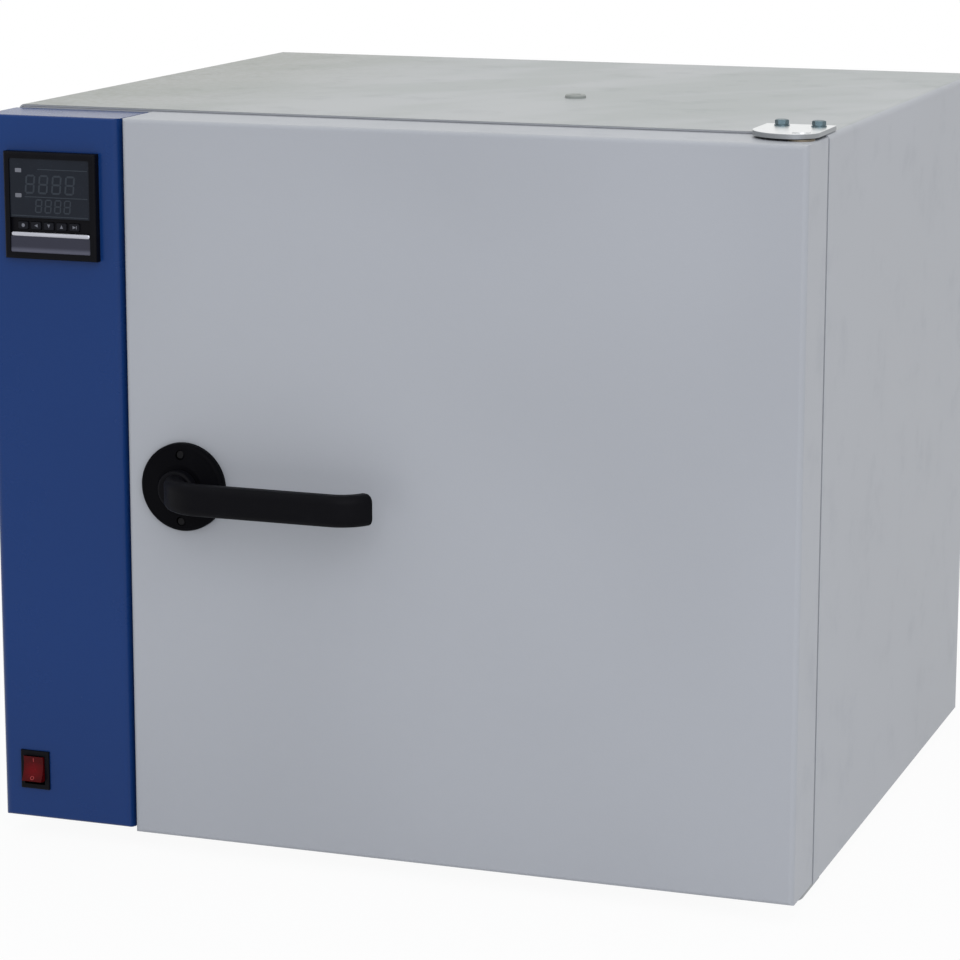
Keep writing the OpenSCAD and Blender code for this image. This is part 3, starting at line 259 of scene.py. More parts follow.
def brushedFinish(name, colour, stretch, roughness, stain, uprightFrom=None):
    look = brushing
    finish = Finish(name, Metallic=1.0)
    lines = finish.streaks(stretch, look["lineSize"], 3.0)
    if uprightFrom is not None:
        low, high = uprightFrom - look["step"], uprightFrom + look["step"]
        inFront = 1 - finish.ease(finish.coordinate(1), low, high)
        upright = finish.streaks(look["upright"], look["lineSize"], 3.0)
        lines = lines + (upright - lines) * inFront
    cloud = finish.noise(look["stainSize"], 3.0)
    dimmer, brighter = (scaled(colour, tone) for tone in look["lineTones"])
    shade = finish.blend(finish.ease(lines, *look["lineEdges"]), dimmer, brighter)
    stained = finish.ease(cloud, *look["stainEdges"]) * stain
    finish.feed("Base Color", finish.blend(stained, shade, scaled(colour, look["stainTones"])))
    sheen = (lines - 0.5) * look["lineRoughness"] + (cloud - 0.5) * look["stainRoughness"]
    finish.feed("Roughness", roughness + sheen)
    finish.bump(lines, look["lineHeight"])
    return finish.material


for finishName, values in brushedPieces.items():
    finishes[finishName] = brushedFinish(*values)


# Hinge plates: bright zinc on the outer faces, darker and duller on the sheared edges and the rims of the pins; the
# dark colour there is partly the cut steel and partly painted shade for the shadow under the plates.
# middle is the height halfway between the two plates, face is how far their outer faces are from it, and edge
# is how far from a face the bright zinc begins and is full.
hingeZinc = {"middle": 0.245, "face": 0.238, "edge": (0.0004, 0.0001), "colour": (0.74, 0.755, 0.76, 1),
             "shearedAndShaded": (0.22, 0.235, 0.25, 1), "shearedShadeShare": 0.85, "stretch": (0.25, 1.0, 1.0),
             "lineSize": 0.0011, "lineEdges": (0.3, 0.7), "lineTones": (0.92, 1.05), "cloudSize": 0.012,
             "cloudEdges": (0.5, 0.8), "cloudTone": 0.8, "cloud": 0.12, "roughness": 0.34,
             "lineRoughness": 0.17, "shearedRoughness": 0.12, "lineHeight": 0.00002}


def hingePlateFinish():
    look = hingeZinc
    finish = Finish("hingePlateZinc", Metallic=1.0)
    lines = finish.streaks(look["stretch"], look["lineSize"], 3.0)
    cloud = finish.ease(finish.noise(look["cloudSize"], 3.0), *look["cloudEdges"]) * look["cloud"]
    fromMiddle = finish.add("Math", {"operation": "ABSOLUTE"}, {0: finish.coordinate(2) - look["middle"]})
    low, high = (look["face"] - edge for edge in look["edge"])
    # Partly painted shade: away from the outer faces the base colour goes dark, as the shadow under the plate would
    shearedAndShaded = 1 - finish.ease(fromMiddle, low, high)
    dimmer, brighter = (scaled(look["colour"], tone) for tone in look["lineTones"])
    shade = finish.blend(finish.ease(lines, *look["lineEdges"]), dimmer, brighter)
    shade = finish.blend(cloud, shade, scaled(look["colour"], look["cloudTone"]))
    finish.feed("Base Color", finish.blend(shearedAndShaded * look["shearedShadeShare"], shade, look["shearedAndShaded"]))
    sheen = (lines - 0.5) * look["lineRoughness"] + shearedAndShaded * look["shearedRoughness"]
    finish.feed("Roughness", look["roughness"] + sheen)
    finish.bump(lines, look["lineHeight"])
    return finish.material


finishes["hingeZinc"] = hingePlateFinish()


# Tube heater: dull steel with the straw and blue tints that heat leaves, and dark scale
heaterTube = {"tintSize": 0.05, "scaleSize": 0.003, "scaleEdges": (0.4, 0.7), "scale": 0.4,
              "scaleColour": (0.1, 0.09, 0.085, 1), "scaleHeight": 0.00006, "metallic": 0.9, "roughness": 0.4,
              "vary": 0.25,
              "tints": [(0.3, (0.2, 0.19, 0.18, 1)), (0.48, (0.3, 0.23, 0.14, 1)),
                        (0.6, (0.2, 0.16, 0.16, 1)), (0.74, (0.13, 0.16, 0.24, 1))]}


def heaterFinish():
    look = heaterTube
    finish = Finish("heaterSteel", Metallic=look["metallic"])
    scale = finish.noise(look["scaleSize"], 4.0)
    shade = finish.add("ValToRGB", {"stops": look["tints"]}, {"Fac": finish.noise(look["tintSize"], 3.0)})
    scaly = finish.ease(scale, *look["scaleEdges"]) * look["scale"]
    finish.feed("Base Color", finish.blend(scaly, shade, look["scaleColour"]))
    finish.feed("Roughness", look["roughness"] + scale * look["vary"])
    finish.bump(scale, look["scaleHeight"])
    return finish.material


finishes["heater_steel"] = heaterFinish()


# Mineral wool: matted fibres over lumps
woolJacket = {"stretch": (1.0, 0.12, 0.5), "fibreSize": 0.0015, "fibreEdges": (0.45, 0.7), "fibres": 0.6,
              "fibreColour": paint(232, 224, 196), "lumpSize": 0.02, "dark": paint(176, 158, 112),
              "pale": paint(214, 202, 166), "lumpShare": 2, "height": 0.0012, "sheen": 0.3, "roughness": 0.85,
              "vary": 0.1}


def woolFinish():
    look = woolJacket
    finish = Finish("mineralWool", Sheen_Weight=look["sheen"])
    fibres = finish.streaks(look["stretch"], look["fibreSize"], 6.0)
    lumps = finish.noise(look["lumpSize"], 4.0)
    shade = finish.blend(lumps, look["dark"], look["pale"])
    matted = finish.ease(fibres, *look["fibreEdges"]) * look["fibres"]
    finish.feed("Base Color", finish.blend(matted, shade, look["fibreColour"]))
    finish.feed("Roughness", look["roughness"] + fibres * look["vary"])
    finish.bump(fibres + lumps * look["lumpShare"], look["height"])
    return finish.material


finishes["wool"] = woolFinish()


# Moulded plastic or rubber: fine spark-eroded grain, and clouds where it is worn paler and duller
moulding = {"grainRoughness": 0.16, "cloudSize": 0.012, "cloudEdges": (0.5, 0.8), "wornRoughness": 0.3,
            "wornTone": 1.5, "wornLift": (0.012, 0.012, 0.013)}

# By slot or own name: material name, colour, roughness, gloss, size and height of the grain, wear
mouldedPieces = {
    # One nylon in two tones: the lever's is a little paler than the rest of the handle, lit and shaded copies with
    # painted sheen on the lever
    "black_handle": ("handleNylon", paint(6, 6, 9), 0.55, 0.03, 0.0011, 0.00006, 0.06),
    "leverSheenNylon": ("leverSheenNylon", paint(8, 8, 12), 0.5, 0.06, 0.0011, 0.00006, 0.06),
    "screw_black": ("blackScrew", paint(11, 11, 14), 0.4, 0.12, 0.0006, 0.00002, 0.1),
    "black_plastic": ("blackPlastic", paint(8, 8, 13), 0.46, 0.08, 0.0008, 0.00003, 0.08),
    "key_plastic": ("keyPlastic", paint(21, 22, 28), 0.5, 0.1, 0.0008, 0.00003, 0.15),
    "relay_black": ("relayBlack", paint(30, 30, 32), 0.44, 0.5, 0.0008, 0.00003, 0.15),
    "terminal_white": ("terminalWhite", paint(214, 212, 200), 0.4, 0.5, 0.0008, 0.00003, 0.15),
    "silicone": ("silicone", paint(150, 62, 48), 0.55, 0.5, 0.0009, 0.00004, 0.15),
    "foot_rubber": ("footRubber", paint(34, 33, 33), 0.66, 0.5, 0.0012, 0.0001, 0.15),
    "portGrey": ("portGrey", paint(146, 150, 147), 0.45, 0.3, 0.0008, 0.00003, 0.15),
    "ghostDigit": ("ghostDigit", paint(48, 54, 62), 0.4, 0.15, 0.0006, 0.00001, 0.15),
    "palePrint": ("palePrint", paint(112, 114, 122), 0.5, 0.2, 0.0005, 0.00001, 0.15),
    "redPrint": ("redPrint", paint(168, 66, 66), 0.45, 0.2, 0.0006, 0.00001, 0.15),
    # Flat dark crosses on the back screws: painted shade of their cross recesses
    "recessShade": ("recessShade", paint(26, 27, 30), 0.6, 0.1, 0.0006, 0.00001, 0.15),
}


def mouldedFinish(name, colour, roughness, gloss, grainSize, grainHeight, wear):
    look = moulding
    finish = Finish(name, Specular_IOR_Level=gloss)
    grain = finish.noise(grainSize, 3.0)
    worn = finish.ease(finish.noise(look["cloudSize"], 3.0), *look["cloudEdges"]) * wear
    wornColour = (*(np.array(colour[:3]) * look["wornTone"] + look["wornLift"]), 1.0)
    finish.feed("Base Color", finish.blend(worn, colour, wornColour))
    sheen = (grain - 0.5) * look["grainRoughness"] + worn * look["wornRoughness"]
    finish.feed("Roughness", roughness + sheen)
    finish.bump(grain, grainHeight)
    return finish.material


for finishName, values in mouldedPieces.items():
    finishes[finishName] = mouldedFinish(*values)


# Bare strip under the keys: satin lacquer with faint lines, paler under the heights of foot
barePanel = {"foot": (0.3922, 0.3952), "footShare": 0.8, "dark": paint(44, 45, 58),
             "pale": paint(92, 93, 108), "stretch": (0.05, 1.0, 1.0), "lineSize": 0.0006, "lineShare": 0.1,
             "gloss": 0.22, "roughness": 0.38, "vary": 0.12, "height": 0.00001}


def stripFinish():
    look = barePanel
    finish = Finish("stripSilver", Specular_IOR_Level=look["gloss"])
    lines = finish.streaks(look["stretch"], look["lineSize"])
    foot = 1 - finish.ease(finish.coordinate(2), *look["foot"])
    paler = foot * look["footShare"] + lines * look["lineShare"]
    finish.feed("Base Color", finish.blend(paler, look["dark"], look["pale"]))
    finish.feed("Roughness", look["roughness"] + (lines - 0.5) * look["vary"])
    finish.bump(lines, look["height"])
    return finish.material


finishes["strip_silver"] = stripFinish()


# Rocker: clear red plastic, painted darker away from its middle, between the two distances of reach, as shade on its
# ends and rim
rockerPlastic = {"middle": (-0.24575, -0.2255, 0.0445), "reach": (0.002, 0.011), "bright": paint(115, 6, 16),
                 "shadedRed": paint(64, 2, 5), "haze": paint(150, 30, 36), "hazeShare": 0.1, "grainSize": 0.002,
                 "gloss": 0.1, "roughness": 0.26, "vary": 0.1, "height": 0.00001}


def rockerFinish():
    look = rockerPlastic
    finish = Finish("switchRed", Specular_IOR_Level=look["gloss"])
    away = finish.add("VectorMath", {"operation": "DISTANCE"}, {0: finish.place, 1: look["middle"]},
                      out="Value")
    grain = finish.noise(look["grainSize"], 3.0)
    # Painted shade: the red darkens away from the middle
    shade = finish.blend(finish.ease(away, *look["reach"]), look["bright"], look["shadedRed"])
    finish.feed("Base Color", finish.blend(grain * look["hazeShare"], shade, look["haze"]))
    finish.feed("Roughness", look["roughness"] + (grain - 0.5) * look["vary"])
    finish.bump(grain, look["height"])
    return finish.material


finishes["switch_red"] = rockerFinish()


# Circuit board: green mask over faint copper tracks
circuitBoard = {"tracks": 160.0, "mask": paint(18, 74, 40), "paleMask": paint(22, 88, 48),
                "track": paint(46, 120, 66), "shade": paint(14, 60, 32), "shadeShare": 0.3,
                "grainSize": 0.002, "roughness": 0.32, "vary": 0.15, "height": 0.00002}


def boardFinish():
    look = circuitBoard
    finish = Finish("circuitBoard")
    tracks = finish.add("TexBrick", {"offset": 0.5},
                        {"Vector": finish.place, "Scale": look["tracks"], "Color1": look["mask"],
                         "Color2": look["paleMask"], "Mortar": look["track"]})
    grain = finish.noise(look["grainSize"], 3.0)
    finish.feed("Base Color", finish.blend(grain * look["shadeShare"], tracks, look["shade"]))
    finish.feed("Roughness", look["roughness"] + grain * look["vary"])
    finish.bump(grain, look["height"])
    return finish.material


finishes["board_green"] = boardFinish()


# Display window: dark smoked acrylic, slightly blue, with fine dust
smokedWindow = {"hazeSize": 0.02, "dark": paint(24, 28, 36), "pale": paint(32, 37, 46), "dustSize": 0.0007,
                "dustEdges": (0.68, 0.8), "dust": 0.3, "dustColour": paint(80, 83, 90), "gloss": 0.12,
                "roughness": 0.2, "vary": 0.12, "height": 0.00001}


def displayFinish():
    look = smokedWindow
    finish = Finish("displayWindow", Specular_IOR_Level=look["gloss"])
    haze = finish.noise(look["hazeSize"], 3.0)
    dust = finish.noise(look["dustSize"], 1.0)
    shade = finish.blend(haze, look["dark"], look["pale"])
    dusty = finish.ease(dust, *look["dustEdges"]) * look["dust"]
    finish.feed("Base Color", finish.blend(dusty, shade, look["dustColour"]))
    finish.feed("Roughness", look["roughness"] + haze * look["vary"])
    finish.bump(dust, look["height"])
    return finish.material


finishes["display"] = displayFinish()

# Nodes that differ from the rest of their slot in tone, or in the way that their lines run
ownFinish = {"port_bush": "portGrey", "lever": "leverSheenNylon", "door_liner": "doorSteel",
             "top_hinge_plate": "hingeZinc", "bottom_hinge_plate": "hingeZinc"}

for row in frame["record"]["subparts"]:
    slots = nodes[row["node"]].data.materials
    slots.clear()
    slots.append(finishes[ownFinish.get(row["node"], row["material_slot"])])
print("finishes made:", len(finishes))


# Faces of closed shells: rings of corners joined level by level, each shell closed by a pole at either end
def closeRings(rings, poles):
    count, levels, corners = rings.shape[:3]
    points = np.concatenate([rings.reshape(count, -1, 3), poles], axis=1)
    steps = np.arange(corners)
    following = (steps + 1) % corners
    base = np.arange(levels - 1)[:, None] * corners
    sides = np.stack([base + steps, base + following, base + corners + following, base + corners + steps],
                     axis=-1)
    low, last = levels * corners, (levels - 1) * corners
    caps = np.concatenate([np.stack([following, steps, np.full(corners, low)], axis=1),
                           np.stack([last + steps, last + following, np.full(corners, low + 1)], axis=1)])
    shift = (np.arange(count) * points.shape[1])[:, None, None]
    quads = (sides.reshape(-1, 4) + shift).reshape(-1, 4)
    return points.reshape(-1, 3), quads, (caps + shift).reshape(-1, 3)


# Section of a flat mark: how far it is sunk, in millimetres, its shoulder as a share of its lift, and the
# share of the outline that its top keeps
markSection = {"sunk": 0.05, "shoulder": 0.55, "top": 0.85}


# Flat marks, each an outline carried up through three levels and drawn in at the last one.
# At level k the corner i is centre + (outline[i] - centre) * spread[k], raised by height[k].
def flatMarks(outlines, lift):
    outlines = np.asarray(outlines, float)
    height = np.array([-markSection["sunk"], lift * markSection["shoulder"], lift])
    spread = np.array([1.0, 1.0, markSection["top"]])
    middle = outlines.mean(axis=1, keepdims=True)
    flat = middle[:, None] + (outlines - middle)[:, None] * spread[None, :, None, None]
    raised = np.broadcast_to(height[None, :, None, None], flat.shape[:3] + (1,))
    ends = np.broadcast_to(height[[0, -1]][None, :, None], (len(outlines), 2, 1))
    poles = np.concatenate([np.repeat(middle, 2, axis=1), ends], axis=2)
    return closeRings(np.concatenate([flat, raised], axis=3), poles)


# Round bars along u, one for each row of (u from, u to, v). An ellipse is carried along the bar, and its
# size follows a quarter circle at both ends: u = end -+ breadth/2 * (1 - sin e), size = cos e, with e from 0
# to a right angle. The point at angle a is (u, v + breadth/2 * size * cos a, height * size * sin a).
def roundBars(bars, breadth, height, corners=16, endLevels=5):
    bars = np.asarray(bars, float)
    a = np.arange(corners) * 2 * np.pi / corners
    e = np.arange(endLevels) * np.pi / 2 / endLevels
    size = np.cos(np.concatenate([e[::-1], e]))
    back = breadth / 2 * (1 - np.sin(e))
    along = np.concatenate([bars[:, :1] + back[::-1], bars[:, 1:2] - back], axis=1)
    u = np.broadcast_to(along[:, :, None], along.shape + (corners,))
    v = bars[:, 2][:, None, None] + (breadth / 2 * size)[None, :, None] * np.cos(a)
    h = np.broadcast_to((height * size)[None, :, None] * np.sin(a), u.shape)
    ends = np.stack([np.stack([bars[:, 0], bars[:, 1]], axis=1), np.repeat(bars[:, 2:], 2, axis=1),
                     np.zeros((len(bars), 2))], axis=2)
    return closeRings(np.stack([u, v, h], axis=3), ends)


# Ring of round section: point = ((R + r cos b) cos a, (R + r cos b) sin a, r sin b)
def roundRing(centre, ringRadius, wireRadius, around=32, across=10):
    a = np.arange(around)[:, None] * 2 * np.pi / around
    b = np.arange(across)[None, :] * 2 * np.pi / across
    reach = ringRadius + wireRadius * np.cos(b)
    points = np.stack([centre[0] + reach * np.cos(a), centre[1] + reach * np.sin(a),
                       np.broadcast_to(wireRadius * np.sin(b), (around, across))], axis=-1).reshape(-1, 3)
    i, j = np.meshgrid(np.arange(around), np.arange(across), indexing="ij")
    nextI, nextJ = (i + 1) % around, (j + 1) % across
    quads = np.stack([i * across + j, nextI * across + j, nextI * across + nextJ, i * across + nextJ],
                     axis=-1)
    return points, quads.reshape(-1, 4), np.zeros((0, 3), int)


# Outline of a bar with pointed ends, as in a seven-segment digit, for each centre and turn: its points are
# (+-half, 0) and (+-(half - side), +-side), turned and moved to the centre
def barOutlines(centres, lengths, breadth, turns):
    half, side = np.asarray(lengths, float) / 2, breadth / 2
    u = np.stack([half - side, half, half - side, side - half, -half, side - half], axis=1)
    v = np.array([-side, 0, side, side, 0, -side])
    c, s = np.cos(turns)[:, None], np.sin(turns)[:, None]
    return np.asarray(centres, float)[:, None] + np.stack([u * c - v * s, u * s + v * c], axis=2)


# Outline of a box with quarter circles at its corners: the arc radius * (cos a, sin a), turned by none to
# three quarters and moved to the four inner corners
def roundedBox(centre, width, height, radius, corners=5):
    a = np.linspace(0, np.pi / 2, corners)
    arc = np.stack([np.cos(a), np.sin(a)], axis=1) * radius
    parts = []
    for quarter, (signU, signV) in enumerate(((1, 1), (-1, 1), (-1, -1), (1, -1))):
        c, s = math.cos(quarter * math.pi / 2), math.sin(quarter * math.pi / 2)
        turned = arc @ np.array([(c, s), (-s, c)])
        parts.append(turned + (signU * (width / 2 - radius), signV * (height / 2 - radius)))
    return np.concatenate(parts) + centre


# Several shapes as one, with the corner numbers of the later ones moved up
def joined(*parts):
    starts = np.cumsum([0] + [len(part[0]) for part in parts[:-1]])
    return (np.concatenate([part[0] for part in parts]),
            np.concatenate([part[1] + start for part, start in zip(parts, starts)]),
            np.concatenate([part[2] + start for part, start in zip(parts, starts)]))


# Puts a shape drawn in (u, v, height) in millimetres on a face. Its place is origin + u along X + v * up +
# height * normal, with up and normal in Y and Z. Its faces are turned over where its volume is negative.
def makePiece(name, shape, origin, body, finishName, up=(0, 1), normal=(-1, 0), smooth=False):
    points, quads, triangles = shape
    placed = np.stack([origin[0] + points[:, 0],
                       origin[1] + points[:, 1] * up[0] + points[:, 2] * normal[0],
                       origin[2] + points[:, 1] * up[1] + points[:, 2] * normal[1]], axis=1) / 1000
    halves = np.concatenate([quads[:, [0, 1, 2]], quads[:, [0, 2, 3]], triangles])
    corners = (placed - placed.mean(axis=0))[halves]
    if np.einsum("ij,ij->i", corners[:, 0], np.cross(corners[:, 1], corners[:, 2])).sum() < 0:
        quads, triangles = quads[:, ::-1], triangles[:, ::-1]
    mesh = bpy.data.meshes.new(name)
    mesh.from_pydata(placed.tolist(), [], quads.tolist() + triangles.tolist())
    mesh.polygons.foreach_set("use_smooth", [smooth] * len(mesh.polygons))
    mesh.materials.append(finishes[finishName])
    piece = bpy.data.objects.new(name, mesh)
    bpy.context.scene.collection.objects.link(piece)
    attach(piece, body)


# Sheet pocket that keeps the wool from the latch slot, in millimetres: a box open to the front, drawn from
# its outer back round the front edge to its inner back. Level k is the rounded box drawn in by inset[k], at
# depth[k] behind the front.
latchPocket = {"front": -177.9, "depth": 15.1, "centre": (-145.8, 252.5), "width": 48.0, "height": 54.6,
               "corner": 3.0, "sheet": 0.6}


def makeLatchPocket():
    look = latchPocket
    sheet, shadedRed = look["sheet"], look["depth"]
    inset, depth = (0, 0, sheet, sheet), (shadedRed, 0, 0, shadedRed - sheet)
    outlines = np.stack([roundedBox(look["centre"], look["width"] - 2 * inwards,
                                    look["height"] - 2 * inwards, look["corner"] - inwards)
                         for inwards in inset])
    behind = np.broadcast_to(np.array(depth)[:, None, None], outlines.shape[:2] + (1,))
    poles = np.array([(*look["centre"], depth[0]), (*look["centre"], depth[-1])])
    shape = closeRings(np.concatenate([outlines, behind], axis=2)[None], poles[None])
    makePiece("latchPocket", shape, (0, look["front"], 0), "cabinet", "galvanised",
              normal=(1, 0))


# Hinge bolts over and under the two plates, in millimetres, each a shank, a washer and a chamfered hexagon
# head with a dished top. The rows of shank and washer are (height above the plate, radius). The head's rows
# are (height above the washer, radius as a share of flats), where flats is half the width across them.
hingeBolts = {"x": (237.5, 260.5), "y": -168.5, "plates": ((483.0, 1), (7.0, -1)), "turn": 0.2, "flats": 3.7,
              "corners": 48, "shank": ((-10.5, 2.4), (-10.1, 2.9), (-0.05, 2.9)),
              "washer": ((-0.05, 4.7), (0.58, 4.7), (0.7, 4.58)),
              "head": ((0.0, 0.97), (0.15, 1.04), (0.3, 2.4), (2.55, 2.4), (2.9, 1.05), (3.1, 0.93),
                       (2.92, 0.72), (2.88, 0.3))}


# The head's radius at angle a is flats / cos(a within its sixth), cut off by its row's circle. The bolts
# under the lower plate are turned half round, by changing the signs of v and height.
def makeHingeBolts():
    look = hingeBolts
    a = np.arange(look["corners"]) * 2 * np.pi / look["corners"]
    hexagon = look["flats"] / np.cos((a % (np.pi / 3)) - np.pi / 6)
    below = np.array(look["shank"] + look["washer"])
    head = np.array(look["head"]) * (1, look["flats"]) + (below[-1, 0], 0)
    height = np.concatenate([below, head])[:, :1]
    radius = np.concatenate([np.repeat(below[:, 1:], len(a), axis=1), np.minimum(hexagon, head[:, 1:])])
    rings = np.stack([radius * np.cos(a + look["turn"]), radius * np.sin(a + look["turn"]),
                      np.broadcast_to(height, radius.shape)], axis=2)
    places = np.array([(x, look["y"], z) for z, way in look["plates"] for x in look["x"]])[:, None]
    ways = np.array([(1, way, way) for z, way in look["plates"] for x in look["x"]])[:, None]
    poles = np.array([(0, 0, height[0, 0]), (0, 0, height[-1, 0])])
    shape = closeRings(rings * ways[:, None] + places[:, None], poles * ways + places)
    makePiece("hingeBoltSet", shape, (0, 0, 0), "cabinet", "bolt_steel",
              up=(1, 0), normal=(0, 1))
    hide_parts("hinge_bolts")


# Controller display: unlit digits behind the window, fine rules and two small label marks, in millimetres
displayMarks = {"front": -232.6, "lift": 0.14, "slant": 0.09, "segmentGap": 0.2,
                "upper": {"x": (-236.4, -227.1, -217.8, -208.5), "z": 435.0, "width": 5.6, "height": 11.0,
                          "bar": 1.25},
                "lower": {"x": (-230.6, -223.9, -217.2, -210.5), "z": 421.2, "width": 4.0, "height": 8.0,
                          "bar": 0.95},
                "rules": [(-231.0, -196.2, 444.6), (-240.5, -196.2, 426.9), (-249.8, -196.2, 414.7)],
                "ruleBreadth": 0.7, "labels": [(-244.6, 443.6), (-244.8, 427.6)], "labelSize": (4.4, 2.6),
                "labelCorner": 0.5}


# Seven bars a digit: three lying, then four standing. A corner moves along x by slant times its height above
# the middle of the row.
def digitRow(row):
    w, h, gap = row["width"], row["height"], row["bar"] * displayMarks["segmentGap"]
    lying = [(0, h / 2), (0, 0), (0, -h / 2)]
    standing = [(-w / 2, h / 4), (w / 2, h / 4), (-w / 2, -h / 4), (w / 2, -h / 4)]
    lengths = [w - gap] * len(lying) + [h / 2 - gap] * len(standing)
    turns = [0.0] * len(lying) + [math.pi / 2] * len(standing)
    count = len(row["x"])
    middles = np.array([(x, row["z"]) for x in row["x"]])
    centres = (middles[:, None] + np.array(lying + standing)).reshape(-1, 2)
    outlines = barOutlines(centres, np.tile(lengths, count), row["bar"], np.tile(turns, count))
    outlines[:, :, 0] += (outlines[:, :, 1] - row["z"]) * displayMarks["slant"]
    return flatMarks(outlines, displayMarks["lift"])


def makeDisplayMarks():
    look = displayMarks
    face = (0, look["front"], 0)
    makePiece("upperDigits", digitRow(look["upper"]), face, "cabinet", "ghostDigit")
    makePiece("lowerDigits", digitRow(look["lower"]), face, "cabinet", "ghostDigit")
    makePiece("displayRules", roundBars(look["rules"], look["ruleBreadth"], look["lift"]), face,
              "cabinet", "ghostDigit", smooth=True)
    boxes = [roundedBox(centre, *look["labelSize"], look["labelCorner"]) for centre in look["labels"]]
    makePiece("displayLabels", flatMarks(boxes, look["lift"]), face, "cabinet", "palePrint")


# Bright edge along the top of the bare strip, in millimetres
stripEdge = {"front": -232.4, "bar": (-250.5, -194.9, 402.9), "breadth": 2.9, "height": 1.0, "corners": 24}


def makeStripEdge():
    look = stripEdge
    bar = roundBars([look["bar"]], look["breadth"], look["height"], look["corners"])
    makePiece("stripEdge", bar, (0, look["front"], 0), "cabinet", "edgeSilver", smooth=True)


# Plain signs on the five keys, in millimetres: a dot, arrows left, down and up, and an arrow against a bar
keySigns = {"front": -232.0, "row": 408.5, "first": -242.25, "pitch": 9.0, "size": 1.15, "lift": 0.1,
            "arrow": ((-1.0, -0.9), (1.0, 0.0), (-1.0, 0.9)), "dotCorners": 18,
            "bar": ((1.1, -0.9), (1.5, -0.9), (1.5, 0.9), (1.1, 0.9))}


def makeKeySigns():
    look = keySigns
    a = np.arange(look["dotCorners"]) * 2 * np.pi / look["dotCorners"]
    dot = np.stack([np.cos(a), np.sin(a)], axis=1)
    arrow, bar = np.array(look["arrow"]), np.array(look["bar"])
    quarter = np.array([(0, 1), (-1, 0)])
    up = arrow @ quarter
    left = up @ quarter
    down = left @ quarter
    for number, parts in enumerate([[dot], [left], [down], [up], [arrow, bar]]):
        centre = np.array((look["first"] + number * look["pitch"], look["row"]))
        shape = joined(*[flatMarks([part * look["size"] + centre], look["lift"]) for part in parts])
        makePiece(f"keySign{number + 1}", shape, (0, look["front"], 0), f"key_{number + 1}",
                  "palePrint")


# Line and ring on the rocker's two slopes, in millimetres. The slopes' lower and upper ends are in Y and Z
# from the pivot, before the rocker's tilt in degrees.
rockerSigns = {"pivot": (-245.75, -225.5, 46.0), "tilt": 12.0, "upper": ((-6.3, 3.69), (-7.7, 8.2)),
               "lower": ((-7.7, -8.2), (-6.3, -3.69)), "line": 2.6, "ring": 1.15, "wire": 0.22}


def makeRockerSigns():
    look = rockerSigns
    c, s = math.cos(math.radians(look["tilt"])), math.sin(math.radians(look["tilt"]))
    turn = np.array([(c, -s), (s, c)])
    points, quads, triangles = roundBars([(-look["line"] / 2, look["line"] / 2, 0)], look["wire"] * 2,
                                         look["wire"])
    line = (points[:, [1, 0, 2]], quads, triangles)        # upright: its u and v change places
    ring = roundRing((0, 0), look["ring"], look["wire"])
    for name, slope, shape in (("rockerLine", "upper", line), ("rockerRing", "lower", ring)):
        low, high = (np.array(end) @ turn for end in look[slope])
        up = (high - low) / np.linalg.norm(high - low)
        middle = (low + high) / 2
        origin = (look["pivot"][0], look["pivot"][1] + middle[0], look["pivot"][2] + middle[1])
        makePiece(name, shape, origin, "rocker", "redPrint",
                  up=up, normal=(-up[1], up[0]), smooth=True)


# Dark cross on each of the eight back screws, painted shade in place of a cross recess, in millimetres: two bars,
# turned an eighth each way
backCrosses = {"face": 256.7, "side": 263.0, "heights": (50.0, 245.0, 440.0), "top": 472.0, "inner": 90.0,
               "length": 3.4, "breadth": 0.8, "lift": 0.06}


def makeBackCrosses():
    look = backCrosses
    places = [(x, z) for x in (-look["side"], look["side"]) for z in look["heights"]]
    places += [(x, look["top"]) for x in (-look["inner"], look["inner"])]
    centres = np.repeat(np.array(places), 2, axis=0)
    turns = np.tile([math.pi / 4, -math.pi / 4], len(places))
    outlines = barOutlines(centres, np.full(len(centres), look["length"]), look["breadth"], turns)
    makePiece("backCrosses", flatMarks(outlines, look["lift"]), (0, look["face"], 0),
              "cabinet", "recessShade", normal=(1, 0))


makeLatchPocket()
makeHingeBolts()
makeDisplayMarks()
makeStripEdge()
makeKeySigns()
makeRockerSigns()
makeBackCrosses()
print("pocket, bolts, controller, switch and screw details made")

# Stage: a pale floor that stays white to the camera and in reflections but keeps the cabinet's shadow, and a
# sky that lights softly and is seen as white
stageLook = {"size": 40.0, "tone": (0.82, 0.82, 0.83, 1), "roughness": 0.9, "gloss": 0.1, "glow": 0.94,
             "fade": (0.4, 0.9), "white": (1, 1, 1, 1), "sky": (0.97, 0.985, 1.0, 1), "skyStrength": 0.6}


# The glow's share rises to 1 away from the cabinet, so that the floor fades into the white behind it
def makeFloor():
    look = stageLook
    half = look["size"] / 2
    mesh = bpy.data.meshes.new("floor")
    mesh.from_pydata([(-half, -half, 0), (half, -half, 0), (half, half, 0), (-half, half, 0)], [],
                     [(0, 1, 2, 3)])
    floor = bpy.data.objects.new("floor", mesh)
    bpy.context.scene.collection.objects.link(floor)
    material = bpy.data.materials.new("floorPaper")
    material.use_nodes = True
    paper = ShaderTree(material.node_tree)
    matt = paper.add("BsdfPrincipled", {}, {"Base Color": look["tone"], "Roughness": look["roughness"],
                                            "Specular IOR Level": look["gloss"]})
    white = paper.add("Emission", {}, {"Color": look["white"], "Strength": 1.0})
    seen = paper.add("LightPath", out="Is Camera Ray")
    mirrored = paper.add("LightPath", out="Is Glossy Ray")
    through = paper.add("LightPath", out="Is Transmission Ray")
    away = paper.add("VectorMath", {"operation": "LENGTH"}, {0: paper.add("TexCoord", out="Object")},
                     out="Value")
    glow = look["glow"] + (1 - look["glow"]) * paper.ease(away, *look["fade"])
    mixed = paper.add("MixShader", {}, {0: (seen + mirrored + through) * glow, 1: matt, 2: white})
    paper.add("OutputMaterial", {}, {"Surface": mixed})
    mesh.materials.append(material)


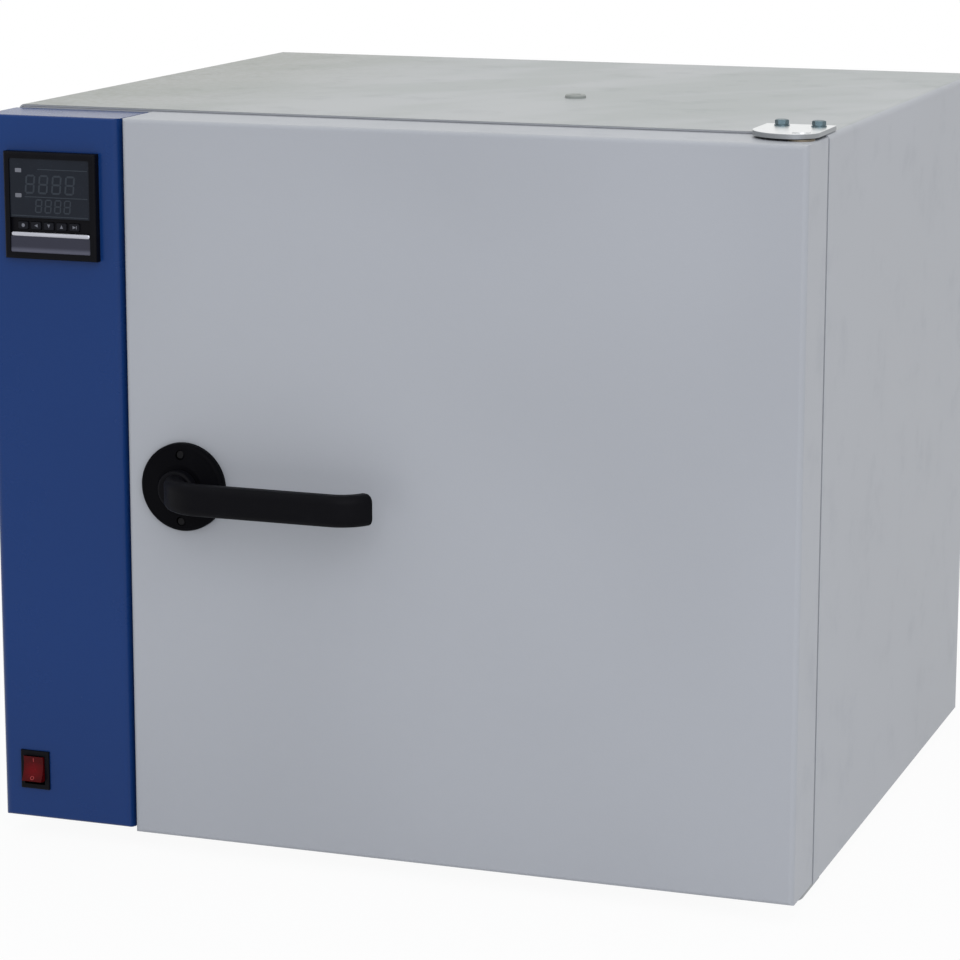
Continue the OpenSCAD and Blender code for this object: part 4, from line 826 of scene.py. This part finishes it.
# Diffuse rays meet the soft sky, and all others meet white
def makeSky():
    world = bpy.data.worlds.new("studio")
    bpy.context.scene.world = world
    world.use_nodes = True
    sky = ShaderTree(world.node_tree)
    soft = sky.add("Background", {}, {"Color": stageLook["sky"], "Strength": stageLook["skyStrength"]})
    bright = sky.add("Background", {}, {"Color": stageLook["white"], "Strength": 1.0})
    lighting = sky.add("LightPath", out="Is Diffuse Ray")
    mixed = sky.add("MixShader", {}, {0: 1 - lighting, 1: soft, 2: bright})
    sky.add("OutputWorld", {}, {"Surface": mixed})


# Lamps: places, aims and sizes in metres, power in watts
lamps = {"overheadLamp": {"place": (0.1, 0.3, 2.6), "aim": (0.0, 0.0, 0.3), "size": 2.4, "power": 16.2,
                          "colour": (1.0, 1.0, 0.94)},
         "frontLamp": {"place": (1.3, -2.7, 1.9), "aim": (0.0, 0.0, 0.25), "size": 2.8, "power": 45.0,
                       "colour": (0.94, 0.95, 1.0)}}


def makeLamps():
    for name, look in lamps.items():
        data = bpy.data.lights.new(name, "AREA")
        data.shape = "SQUARE"
        data.size = look["size"]
        data.energy = look["power"]
        data.color = look["colour"]
        lamp = bpy.data.objects.new(name, data)
        lamp.location = look["place"]
        towards = Vector(look["aim"]) - Vector(look["place"])
        lamp.rotation_euler = towards.to_track_quat("-Z", "Y").to_euler()
        bpy.context.scene.collection.objects.link(lamp)


# Camera, fitted to the photo's edges without a shift: place in metres, turns in degrees, lens in millimetres
cameraLook = {"place": (0.751, -2.1635, 0.696), "yaw": 19.52, "pitch": 11.89, "roll": -0.07, "lens": 127.4,
              "sensor": 36.0}


def makeCamera():
    look = cameraLook
    data = bpy.data.cameras.new("camera")
    data.lens = look["lens"]
    data.sensor_width = look["sensor"]
    camera = bpy.data.objects.new("camera", data)
    camera.location = look["place"]
    camera.rotation_euler = Euler((math.radians(90 - look["pitch"]), math.radians(look["roll"]),
                                   math.radians(look["yaw"])), "XYZ")
    bpy.context.scene.collection.objects.link(camera)
    bpy.context.scene.camera = camera


makeFloor()
makeSky()
makeLamps()
makeCamera()
bpy.context.scene.view_settings.view_transform = "Standard"
print("stage, lamps and camera made")
